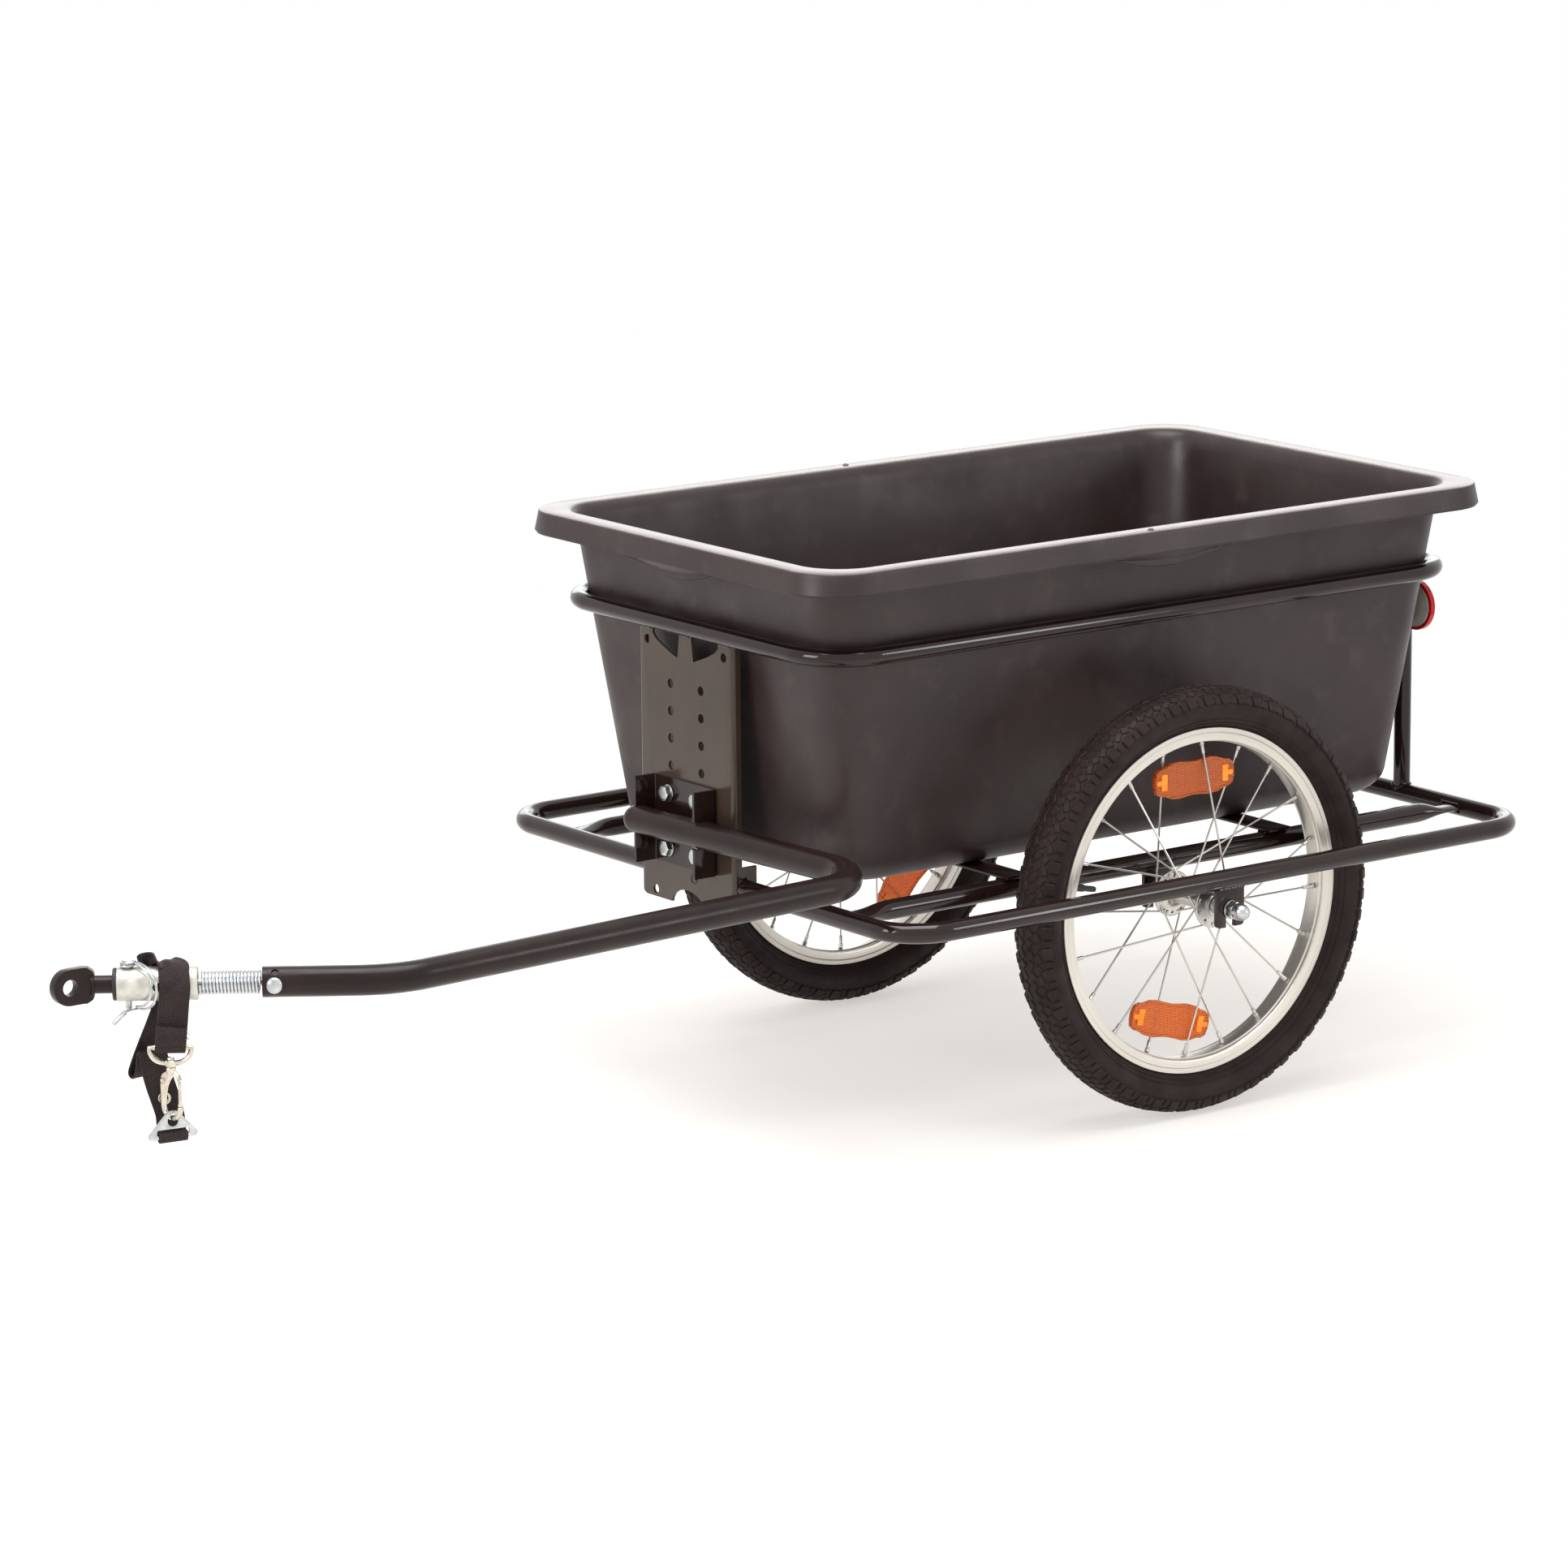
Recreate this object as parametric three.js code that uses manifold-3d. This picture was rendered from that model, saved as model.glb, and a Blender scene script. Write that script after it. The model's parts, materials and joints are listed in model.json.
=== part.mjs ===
// A two-wheeled cargo trailer for a bicycle: a bent tube frame that carries a loose plastic tub,
// two spoked wheels, and a bent drawbar that ends in a sprung coupling with a safety strap.
// Lengths are millimetres. X points forward to the drawbar, Y to the trailer's left and Z up.
// The wheels' axle line stands over x = 0 while the pieces are made, and the whole trailer is
// centred over its origin, on the ground, at the end.

import * as THREE from 'three';
import { mergeVertices } from 'three/addons/utils/BufferGeometryUtils.js';
import Module from 'manifold-3d';

const wasm = await Module();
wasm.setup();

// Clearances shared by all the pieces
const seatGap = 0.3;
const runningGap = 0.4;
const cutOverrun = 2;

// Lower frame loop: one bent tube that runs right round the wheels
const frameTubeRadius = 9;
const loopSetback = 8;
const loopHalfWidth = 307;
const loopHeight = 223;
const loopCornerRadius = 46;

// Inner rails: straight tubes inside the wheels, with flattened tips
const railOffset = 212;
const railTipLength = 42;
const railTipHalfWidth = 13;
const railTipHalfThickness = 3.2;
const stripWidth = 26;
const stripThickness = 3;
const stripFrontPlace = 170;
const stripRearPlace = -137;

// Upper ring: thinner tube round the tub, and the two struts behind it
const ringTubeRadius = 8;
const ringEndClearance = 4.84;
const ringSideClearance = 1.34;
const ringHeight = 450.6;
const ringCornerRadius = 54;
const strutOffset = 134;

// Tub: straight drafted walls, flat lip and a skirt that turns down all round
const tubPlace = 2.5;
const tubWall = 3;
const tubFloorHalfLength = 328;
const tubFloorHalfWidth = 172;
const tubDraft = 0.124;
const rimAboveRing = 80.8;
const tubCornerRadius = 40;
const tubFloorEdgeRadius = 22;
const rimOverhang = 26;
const rimLipWidth = 20;
const rimSkirtHeight = 21;
const rimSkirtFlare = 2.5;
const rimEdgeRadius = 2.5;
const rimCornerRadius = 50;
const gripHalfLength = 68;
const gripDrop = 11;
const gripInset = 3;
const gripRoot = 8;

// Front plate: folded sheet steel, welded under the ring and round the loop
const plateThickness = 2.5;
const plateHalfWidth = 71;
const plateBottom = 196.5;
const plateFlange = 9;
const plateCornerRadius = 10;
const plateArchHalfWidth = 24;
const plateArchRise = 14;
const plateTabTop = 243;
const plateTabBottom = 205;
const plateTabDepth = 25;
const plateNotchOuter = 50;
const plateNotchInner = 9;
const plateNotchDepth = 21;
const plateHoleRadius = 4.3;
const plateHolePitch = 25;
const plateHoleLowest = 247;
const plateHoleMargin = 12;
const plateHoleColumn = 23;
const plateCornerHoleOffset = 58;
const plateCornerHoleDrop = 18;
const plateFootHoleOffset = 49;
const plateFootHoleRise = 7;

// Drawbar bracket and its bolts
const bracketThickness = 3;
const bracketHalfWidth = 46.5;
const bracketHeight = 79;
const bracketEarDepth = 22;
const boltRadius = 4;
const boltHeadRadius = 7.5;
const boltHeadHeight = 5.3;
const boltNutHeight = 6.5;
const boltTail = 3;
const washerRadius = 8;
const washerThickness = 1.6;

// Drawbar: one bent tube, level, from the bracket out to the left and forward
const drawbarRadius = 12.7;
const drawbarWall = 2;
const drawbarHoleRow = 1;
const drawbarYaw = 3.9;
const drawbarCrossReach = 283;
const drawbarStubReach = 45;
const drawbarForwardRun = 521;
const drawbarTipBend = 38.5;
const drawbarTipRun = 107.5;
const drawbarElbowRadius = 63;
const drawbarTipRadius = 90;
const drawbarSocketDepth = 36;
const crossBoltRadius = 3;
const crossBoltHeadRadius = 6.8;
const crossBoltHeadHeight = 4;
const crossBoltNutRadius = 5.5;
const crossBoltSetback = 10;

// Sprung coupling, in order along the arm from the drawbar's end
const springLength = 52;
const springOuterRadius = 10.2;
const springWireRadius = 1.3;
const springCurls = 12;
const coreBeadRadius = 6;
const coreStudRadius = 3.5;
const coreStudHeadRadius = 7;
const coreStudHeadLength = 4;
const corePlugLength = 30;
const sleeveRadius = 14;
const sleeveLength = 65.5;
const sleeveEndWall = 10;
const sleeveHoleRadius = 4;
const sleeveHolePlace = 32;
const bushWall = 1.5;
const bushFlange = 3;
const bushFlangeRadius = 13.4;
const bushLength = 26;
const stubRadius = 7.5;
const stubInside = 28;
const stubOutside = 18;
const eyePlateThickness = 8;
const eyePlateHalfHeight = 15;
const eyeNeckLength = 9.5;
const eyeReach = 14;
const eyeHoleRadius = 6.8;
const eyeChamfer = 6;
const eyeWeldLap = 6;

// Linch pin and its sprung bow
const pinRadius = 2.8;
const pinPlace = 56.5;
const pinTipLength = 8;
const pinHeadRadius = 4.5;
const pinHeadHeight = 5.8;
const bowWireRadius = 1.2;
const bowSwivelRise = 3.2;
const bowBulge = 28.5;
const bowTurn = 42;
const bowOffset = 6.4;
const bowTailLength = 16;
const bowTailDrop = 8;

// Safety strap, its ring, swivel hook and link, hanging from the sleeve
const strapWidth = 25;
const strapThickness = 1.8;
const strapPlace = 18;
const ringWireRadius = 2.3;
const strapRingHalfWidth = 16.8;
const strapRingBar = 50;
const strapRingDepth = 13;
const swivelBossRadius = 4.6;
const swivelBossHeight = 6;
const swivelStemRadius = 2;
const swivelHeadRadius = 3.2;
const swivelHeadHeight = 1.8;
const swivelNeck = 3;
const hookWireRadius = 1.9;
const hookHalfWidth = 10;
const hookShoulder = 7;
const hookDrop = 40;
const hookNoseRise = 1;
const hookTurn = 135;
const hookPlace = 5;
const gateWireRadius = 1.4;
const linkHalfWidth = 21;
const linkHeight = 13;
const linkThickness = 2;
const linkHoleRadius = 4.6;
const linkRimWidth = 4;
const linkSlotHalfLength = 14;
const linkSlotHeight = 4.5;
const linkFootHeight = 3.4;
const linkTurn = 25;
const eyeletRadius = 5.5;
const eyeletHoleRadius = 3;
const eyeletThickness = 1;

// Wheels: sixteen-inch, aluminium rim, twenty crossed spokes
const tyreRadius = 196;
const tyreHalfWidth = 23;
const tyreWall = 4;
const rimRadius = 158.8;
const rimHalfWidth = 12;
const rimHeight = 14;
const rimFlange = 6.4;
const rimWall = 1.8;
const spokeCount = 20;
const spokeCrosses = 2;
const spokeRadius = 1;
const spokePhase = 3.6;
const nippleRadius = 2;
const nippleLength = 11;
const nippleGap = 0.8;
const hubFlangeRadius = 21;
const hubFlangeOffset = 28.5;
const hubFlangeThickness = 3;
const hubSpokeCircle = 17.5;
const hubBarrelRadius = 7.5;
const hubEndRadius = 10;
const hubHalfLength = 34;
const hubBoreRadius = 5.6;
const axleRadius = 4.75;
const coneRadius = 8;
const axleNutRadius = 8.6;
const axleNutHeight = 8.5;
const domeNutRadius = 7.6;
const domeNutHeight = 13;
const domeNutWall = 3;
const valveRadius = 3.6;
const valveLength = 27;
const valveAngle = 12.6;
const rightWheelRoll = 30;

// Fork plates under the loop and the rails
const forkThickness = 4;
const forkShift = 3;
const forkHalfWidth = 16;
const forkBelowAxle = 16;
const forkSlotRadius = 5.1;
const forkFootRadius = 4;

// Amber spoke reflectors and round red rear reflectors
const spokeReflectorHalfLength = 46;
const spokeReflectorHalfHeight = 17;
const spokeReflectorThickness = 6;
const spokeReflectorCircle = 112;
const spokeReflectorAngles = [90, -76];
const rearReflectorRadius = 24;
const rearReflectorDrop = 48.6;
const rearReflectorLens = 5;
const rearReflectorLip = 2;
const rearReflectorBackRadius = 20.5;
const rearReflectorBack = 6;
const rearReflectorStudRadius = 2.5;
const rearReflectorNutRadius = 4.6;
const rearReflectorNutHeight = 4;

// How finely round shapes are divided
const tubeSides = 8;
const bendSteps = 5;
const wheelSegments = 36;
const turnedSegments = 12;
const smallSegments = 8;
const sleeveSegments = 16;
const lensSegments = 20;
const wrapSteps = 6;
const slackEndRows = 8;
const foldSteps = 4;
const arcSegments = 4;

// Places that follow from the sizes above
const wheelPlane = (railOffset + loopHalfWidth) / 2;
const stripSeat = loopHeight + frameTubeRadius + seatGap;
const tubBottom = stripSeat + stripThickness + seatGap;
const tubTop = ringHeight + rimAboveRing;
const tubGrowthAtRing = tubDraft * (ringHeight - tubBottom);
const ringHalfLength = tubFloorHalfLength + tubGrowthAtRing + ringEndClearance + ringTubeRadius;
const ringHalfWidth = tubFloorHalfWidth + tubGrowthAtRing + ringSideClearance + ringTubeRadius;
const ringFront = tubPlace + ringHalfLength;
const ringRear = tubPlace - ringHalfLength;
const loopFront = ringFront - loopSetback;
const loopRear = ringRear;
const rearReflectorHeight = ringHeight - rearReflectorDrop;
const plateBack = loopFront + frameTubeRadius + seatGap;
const plateFront = plateBack + plateThickness;
const bracketBack = plateFront + seatGap;
const bracketFront = bracketBack + bracketThickness;
const yawLean = bracketHalfWidth * Math.tan(THREE.MathUtils.degToRad(drawbarYaw));
const drawbarPlace = bracketFront + drawbarRadius + seatGap + yawLean;
const drawbarHeight = plateHoleLowest + drawbarHoleRow * plateHolePitch;
const plateNotchFoot = ringHeight - ringTubeRadius - plateNotchDepth;
const plateHoleRows = Math.floor((plateNotchFoot - plateHoleMargin - plateHoleLowest) / plateHolePitch) + 1;

const paintedSteel = new THREE.MeshStandardMaterial({ color: '#161413', roughness: 0.25, metalness: 0.3 });
const satinSteel = new THREE.MeshStandardMaterial({ color: '#211f1e', roughness: 0.45, metalness: 0.3 });
const zincSteel = new THREE.MeshStandardMaterial({ color: '#b9bab6', roughness: 0.35, metalness: 0.9 });
const nickelSteel = new THREE.MeshStandardMaterial({ color: '#cfc8ba', roughness: 0.2, metalness: 1 });
const polishedAlloy = new THREE.MeshStandardMaterial({ color: '#c9c9c7', roughness: 0.25, metalness: 1 });
const tubPlastic = new THREE.MeshStandardMaterial({ color: '#3c3534', roughness: 0.6, metalness: 0 });
const blackPlastic = new THREE.MeshStandardMaterial({ color: '#1b1b1b', roughness: 0.5, metalness: 0 });
const tyreRubber = new THREE.MeshStandardMaterial({ color: '#1d1b1b', roughness: 0.85, metalness: 0 });
const webbing = new THREE.MeshStandardMaterial({ color: '#1c1715', roughness: 0.9, metalness: 0 });
const amberLens = new THREE.MeshStandardMaterial({ color: '#f0731a', roughness: 0.2, metalness: 0 });
const redLens = new THREE.MeshStandardMaterial({ color: '#c81a1c', roughness: 0.2, metalness: 0 });
const greyPlastic = new THREE.MeshStandardMaterial({ color: '#8d8780', roughness: 0.5, metalness: 0 });

const trailer = new THREE.Group();

// Points, outlines and paths

const radians = (angle) => THREE.MathUtils.degToRad(angle);
const at = (x, y, z) => new THREE.Vector3(x, y, z);

// The radius of a many-sided hole whose flats stand clear of a round piece inside it.
const clear = (radius, sides, gap = seatGap) => (radius + gap) / Math.cos(Math.PI / sides);

function roundOutline(radius, sides) {
  const points = [];
  for (let k = 0; k < sides; k += 1) {
    const angle = 2 * Math.PI * (k / sides);
    points.push(new THREE.Vector2(radius * Math.cos(angle), radius * Math.sin(angle)));
  }
  return points;
}

// A path of straight steps whose rings fall on its own points, so bends are fine and runs are long.
class BentLine extends THREE.Curve {
  constructor(points, closed = false) {
    super();
    this.points = points;
    this.closed = closed;
  }

  getPoint(t, target = new THREE.Vector3()) {
    const count = this.points.length;
    const spans = this.closed ? count : count - 1;
    const place = THREE.MathUtils.clamp(t, 0, 1) * spans;
    const index = Math.min(Math.floor(place), spans - 1);
    const next = (index + 1) % count;
    return target.copy(this.points[index]).lerp(this.points[next], place - index);
  }

  getUtoTmapping(u) {
    return u;
  }
}

// The points of a round bend that joins two straight runs at a corner.
function bend(before, corner, after, radius, steps = bendSteps) {
  const back = before.clone().sub(corner).normalize();
  const on = after.clone().sub(corner).normalize();
  const half = back.angleTo(on) / 2;
  const start = corner.clone().addScaledVector(back, radius / Math.tan(half));
  const middle = back.clone().add(on).normalize();
  const centre = corner.clone().addScaledVector(middle, radius / Math.sin(half));
  const arm = start.clone().sub(centre);
  const axis = arm.clone().cross(back.clone().negate()).normalize();
  const points = [];
  for (let k = 0; k <= steps; k += 1) {
    const turned = arm.clone().applyAxisAngle(axis, (Math.PI - 2 * half) * (k / steps));
    points.push(centre.clone().add(turned));
  }
  return points;
}

function roundedRectangle(front, rear, halfWidth, height, radius, steps = bendSteps) {
  const corners = [
    at(front, halfWidth, height),
    at(rear, halfWidth, height),
    at(rear, -halfWidth, height),
    at(front, -halfWidth, height),
  ];
  const points = [];
  corners.forEach((corner, k) => {
    const before = corners[(k + corners.length - 1) % corners.length];
    const after = corners[(k + 1) % corners.length];
    points.push(...bend(before, corner, after, radius, steps));
  });
  return points;
}

// Solids

// Shared vertices are merged and slivers of no area are dropped, so the surface closes.
function weld(geometry) {
  const bare = geometry.clone();
  bare.deleteAttribute('normal');
  bare.deleteAttribute('uv');
  const merged = mergeVertices(bare, 1e-4);
  const corners = merged.index.array;
  const kept = [];
  for (let k = 0; k < corners.length; k += 3) {
    const [a, b, c] = [corners[k], corners[k + 1], corners[k + 2]];
    if (a !== b && b !== c && c !== a) kept.push(a, b, c);
  }
  merged.setIndex(kept);
  return merged;
}

function solidOf(geometry) {
  const welded = weld(geometry);
  return new wasm.Manifold(new wasm.Mesh({
    numProp: 3,
    vertProperties: new Float32Array(welded.attributes.position.array),
    triVerts: new Uint32Array(welded.index.array),
  }));
}

function geometryOf(solid) {
  const mesh = solid.getMesh();
  const geometry = new THREE.BufferGeometry();
  geometry.setAttribute('position', new THREE.BufferAttribute(mesh.vertProperties, mesh.numProp));
  geometry.setIndex(new THREE.BufferAttribute(mesh.triVerts, 1));
  return geometry;
}

function join(...pieces) {
  return geometryOf(pieces.map(solidOf).reduce((whole, piece) => whole.add(piece)));
}

function cut(body, ...cutters) {
  return geometryOf(cutters.reduce((rest, cutter) => rest.subtract(solidOf(cutter)), solidOf(body)));
}

// Skins a row of rings with the same number of points each, and closes the two ends.
function skin(rings) {
  const count = rings[0].length;
  const position = rings.flat().flatMap((point) => point.toArray());
  const index = [];
  for (let row = 0; row + 1 < rings.length; row += 1) {
    for (let k = 0; k < count; k += 1) {
      const [a, b] = [row * count + k, row * count + ((k + 1) % count)];
      index.push(a, b, b + count, a, b + count, a + count);
    }
  }
  const last = (rings.length - 1) * count;
  for (let k = 1; k + 1 < count; k += 1) {
    index.push(0, k + 1, k, last, last + k, last + k + 1);
  }
  const geometry = new THREE.BufferGeometry();
  geometry.setAttribute('position', new THREE.Float32BufferAttribute(position, 3));
  geometry.setIndex(index);
  return geometry;
}

function openTube(points, radius, sides = tubeSides) {
  return new THREE.ExtrudeGeometry(new THREE.Shape(roundOutline(radius, sides)), {
    steps: points.length - 1,
    extrudePath: new BentLine(points),
    bevelEnabled: false,
  });
}

function closedTube(points, radius, sides = tubeSides) {
  return new THREE.TubeGeometry(new BentLine(points, true), points.length, radius, sides, true);
}

// Turns a profile of [radius, place] pairs about Y, with its faces outwards.
function turned(profile, segments = turnedSegments) {
  const points = profile.map(([radius, place]) => new THREE.Vector2(radius, place));
  if (THREE.ShapeUtils.area(points) < 0) points.reverse();
  if (points[0].x > 0 || points[points.length - 1].x > 0) points.push(points[0].clone());
  return new THREE.LatheGeometry(points, segments);
}

const turnedAlongX = (profile, segments) => turned(profile, segments).rotateZ(-Math.PI / 2);
const turnedAlongZ = (profile, segments) => turned(profile, segments).rotateX(Math.PI / 2);

function rod(radius, from, to, sides = smallSegments) {
  return turned([[0, from], [radius, from], [radius, to], [0, to]], sides);
}

const rodAlongX = (radius, from, to, sides) => rod(radius, from, to, sides).rotateZ(-Math.PI / 2);
const rodAlongZ = (radius, from, to, sides) => rod(radius, from, to, sides).rotateX(Math.PI / 2);

function ringAlong(inner, outer, from, to, segments = smallSegments) {
  return turned([[inner, from], [outer, from], [outer, to], [inner, to]], segments);
}

function box(fromX, toX, fromY, toY, fromZ, toZ) {
  const block = new THREE.BoxGeometry(toX - fromX, toY - fromY, toZ - fromZ);
  return block.translate((fromX + toX) / 2, (fromY + toY) / 2, (fromZ + toZ) / 2);
}

function sheet(shape, thickness) {
  return new THREE.ExtrudeGeometry(shape, { depth: thickness, bevelEnabled: false, curveSegments: arcSegments });
}

// An outline drawn in Y and Z becomes a sheet that starts at x and grows forward.
function sheetFacingForward(shape, thickness, x) {
  const turn = new THREE.Matrix4().makeBasis(at(0, 1, 0), at(0, 0, 1), at(1, 0, 0));
  return sheet(shape, thickness).applyMatrix4(turn).translate(x, 0, 0);
}

// An outline drawn in X and Z becomes a sheet centred on y.
function sheetFacingSideways(shape, thickness, y) {
  return sheet(shape, thickness).rotateX(Math.PI / 2).translate(0, y + thickness / 2, 0);
}

function place(name, geometry, material, group = trailer) {
  const welded = weld(geometry);
  welded.computeVertexNormals();
  const mesh = new THREE.Mesh(welded, material);
  mesh.name = name;
  group.add(mesh);
  return mesh;
}

// Frame

function makeFrameLoops() {
  const loop = roundedRectangle(loopFront, loopRear, loopHalfWidth, loopHeight, loopCornerRadius);
  loop.push(at(loopFront, 0, loopHeight));
  place('lower_loop', closedTube(loop, frameTubeRadius), paintedSteel);
  const ring = roundedRectangle(ringFront, ringRear, ringHalfWidth, ringHeight, ringCornerRadius);
  ring.push(at(ringFront, 0, ringHeight));
  place('upper_ring', closedTube(ring, ringTubeRadius), paintedSteel);
}

// A rail is a round tube whose two tips are pressed flat against the loop.
function railGeometry(y) {
  const front = loopFront - frameTubeRadius - seatGap;
  const rear = loopRear + frameTubeRadius + seatGap;
  const flatShares = [1, 1, 0.5, 0];
  const placeShares = [0, 0.35, 0.75, 1];
  const section = (x, flat) => roundOutline(1, tubeSides).map((point) => {
    const halfWidth = THREE.MathUtils.lerp(frameTubeRadius, railTipHalfWidth, flat);
    const halfThickness = THREE.MathUtils.lerp(frameTubeRadius, railTipHalfThickness, flat);
    return at(x, y + halfWidth * point.x, loopHeight + halfThickness * point.y);
  });
  const rearRings = flatShares.map((flat, k) => section(rear + railTipLength * placeShares[k], flat));
  const frontRings = flatShares.map((flat, k) => section(front - railTipLength * placeShares[k], flat));
  return skin([...rearRings, ...frontRings.reverse()]);
}

function makeRails() {
  place('inner_rail_left', railGeometry(railOffset), paintedSteel);
  place('inner_rail_right', railGeometry(-railOffset), paintedSteel);
  const reach = railOffset + frameTubeRadius;
  const strip = (x) => box(x - stripWidth / 2, x + stripWidth / 2, -reach, reach, stripSeat, stripSeat + stripThickness);
  place('cross_strip_front', strip(stripFrontPlace), paintedSteel);
  place('cross_strip_rear', strip(stripRearPlace), paintedSteel);
}

// A round cutter along Y that clears a cross tube of the frame.
function crossTubeCutter(x, radius, height, halfLength) {
  return rod(clear(radius, turnedSegments), -halfLength, halfLength, turnedSegments).translate(x, 0, height);
}

function makeStruts() {
  for (const [name, side] of [['rear_strut_left', 1], ['rear_strut_right', -1]]) {
    const y = side * strutOffset;
    const reach = 2 * ringTubeRadius;
    const post = rodAlongZ(ringTubeRadius, loopHeight, ringHeight).translate(ringRear, y, 0);
    const lower = crossTubeCutter(loopRear, frameTubeRadius, loopHeight, reach).translate(0, y, 0);
    const upper = crossTubeCutter(ringRear, ringTubeRadius, ringHeight, reach).translate(0, y, 0);
    const hole = rodAlongX(clear(rearReflectorStudRadius, smallSegments), -reach, reach);
    hole.translate(ringRear, y, rearReflectorHeight);
    place(name, cut(post, lower, upper, hole), paintedSteel);
  }
}

// Front plate and drawbar bracket

function plateOutline() {
  const top = ringHeight;
  const low = plateBottom;
  const wide = plateHalfWidth;
  const outline = new THREE.Shape();
  outline.moveTo(-wide, top);
  outline.lineTo(-wide, low + plateCornerRadius);
  outline.quadraticCurveTo(-wide, low, plateCornerRadius - wide, low);
  outline.lineTo(-plateArchHalfWidth, low);
  outline.absellipse(0, low, plateArchHalfWidth, plateArchRise, Math.PI, 0, true);
  outline.lineTo(wide - plateCornerRadius, low);
  outline.quadraticCurveTo(wide, low, wide, low + plateCornerRadius);
  outline.lineTo(wide, top);
  const mouth = ringHeight - ringTubeRadius;
  for (const side of [1, -1]) {
    const ends = [side * plateNotchOuter, side * plateNotchInner];
    if (side < 0) ends.reverse();
    const deep = side * (plateNotchInner + plateThickness);
    outline.lineTo(ends[0], top);
    if (side > 0) {
      outline.lineTo(ends[0], mouth);
      outline.quadraticCurveTo(ends[0], mouth - plateNotchDepth, deep, mouth - plateNotchDepth);
      outline.lineTo(ends[1], top);
    } else {
      outline.lineTo(deep, mouth - plateNotchDepth);
      outline.quadraticCurveTo(ends[1], mouth - plateNotchDepth, ends[1], mouth);
      outline.lineTo(ends[1], top);
    }
  }
  return outline;
}

function plateHoles() {
  const holes = [];
  const hole = (y, z, radius) => {
    const path = new THREE.Path();
    path.absarc(y, z, radius, 0, 2 * Math.PI, true);
    holes.push(path);
  };
  for (let row = 0; row < plateHoleRows; row += 1) {
    hole(-plateHoleColumn, plateHoleLowest + row * plateHolePitch, plateHoleRadius);
    hole(plateHoleColumn, plateHoleLowest + row * plateHolePitch, plateHoleRadius);
  }
  for (const side of [-1, 1]) {
    hole(side * plateCornerHoleOffset, ringHeight - plateCornerHoleDrop, plateHoleRadius);
    hole(side * plateFootHoleOffset, plateBottom + plateFootHoleRise, plateHoleRadius);
  }
  return holes;
}

function makeFrontPlate() {
  const outline = plateOutline();
  outline.holes = plateHoles();
  const web = sheetFacingForward(outline, plateThickness, plateBack);
  const pieces = [web];
  for (const side of [-1, 1]) {
    const edges = [side * plateHalfWidth, side * (plateHalfWidth - plateThickness)].sort((a, b) => a - b);
    pieces.push(box(plateFront - plateFlange, plateFront, ...edges, plateTabTop, ringHeight));
    pieces.push(box(plateFront - plateTabDepth, plateFront, ...edges, plateTabBottom, plateTabTop));
  }
  const reach = plateHalfWidth + cutOverrun;
  const loop = crossTubeCutter(loopFront, frameTubeRadius, loopHeight, reach);
  const ring = crossTubeCutter(ringFront, ringTubeRadius, ringHeight, reach);
  place('front_plate', cut(join(...pieces), loop, ring), paintedSteel);
}

function boltPlaces() {
  const places = [];
  for (const side of [-1, 1]) {
    places.push([side * plateHoleColumn, drawbarHeight - plateHolePitch]);
    places.push([side * plateHoleColumn, drawbarHeight + plateHolePitch]);
  }
  return places;
}

function makeBracket() {
  const half = bracketHeight / 2;
  const front = bracketFront + bracketEarDepth;
  const web = box(bracketBack, bracketFront, -bracketHalfWidth, bracketHalfWidth, -half, half);
  const inner = bracketHalfWidth - bracketThickness;
  const leftEar = box(bracketBack, front, inner, bracketHalfWidth, -half, half);
  const rightEar = box(bracketBack, front, -bracketHalfWidth, -inner, -half, half);
  const notchRadius = clear(drawbarRadius, turnedSegments);
  const reach = bracketHalfWidth + cutOverrun;
  const channel = join(
    rod(notchRadius, -reach, reach, turnedSegments),
    box(0, bracketEarDepth + notchRadius, -reach, reach, -notchRadius, notchRadius),
  );
  channel.rotateZ(radians(drawbarYaw)).translate(drawbarPlace, 0, 0);
  const holes = boltPlaces().map(([y, z]) => rodAlongX(
    clear(boltRadius, smallSegments),
    bracketBack - cutOverrun,
    bracketFront + cutOverrun,
  ).translate(0, y, z - drawbarHeight));
  const bracket = cut(join(web, leftEar, rightEar), channel, ...holes).translate(0, 0, drawbarHeight);
  place('drawbar_bracket', bracket, paintedSteel);
}

// Each bolt is made with its washer and its nut as one body.
function makeBracketBolts() {
  const seat = bracketFront + seatGap;
  const head = seat + washerThickness;
  const nut = plateBack - seatGap;
  const bolt = join(
    rodAlongX(boltRadius, nut - boltNutHeight - boltTail, head),
    rodAlongX(washerRadius, seat, head, turnedSegments),
    rodAlongX(boltHeadRadius, head - washerThickness / 2, head + boltHeadHeight, 6),
    rodAlongX(boltHeadRadius, nut - boltNutHeight, nut, 6),
  );
  boltPlaces().forEach(([y, z], k) => {
    place(`bracket_bolt_${k + 1}`, bolt.clone().translate(0, y, z), zincSteel);
  });
}

// Drawbar

// The arm's plan: from the bracket across to the left, forward, and in towards the coupling.
function drawbarPlan() {
  const along = (angle) => at(Math.cos(radians(angle)), Math.sin(radians(angle)), 0);
  const across = along(90 + drawbarYaw);
  const forward = along(drawbarYaw);
  const tip = along(drawbarYaw - drawbarTipBend);
  const base = at(drawbarPlace, 0, drawbarHeight);
  const start = base.clone().addScaledVector(across, -drawbarStubReach);
  const elbow = base.clone().addScaledVector(across, drawbarCrossReach);
  const knee = elbow.clone().addScaledVector(forward, drawbarForwardRun);
  const end = knee.clone().addScaledVector(tip, drawbarTipRun);
  return { start, elbow, knee, end, heading: drawbarYaw - drawbarTipBend };
}

const drawbar = drawbarPlan();

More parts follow.
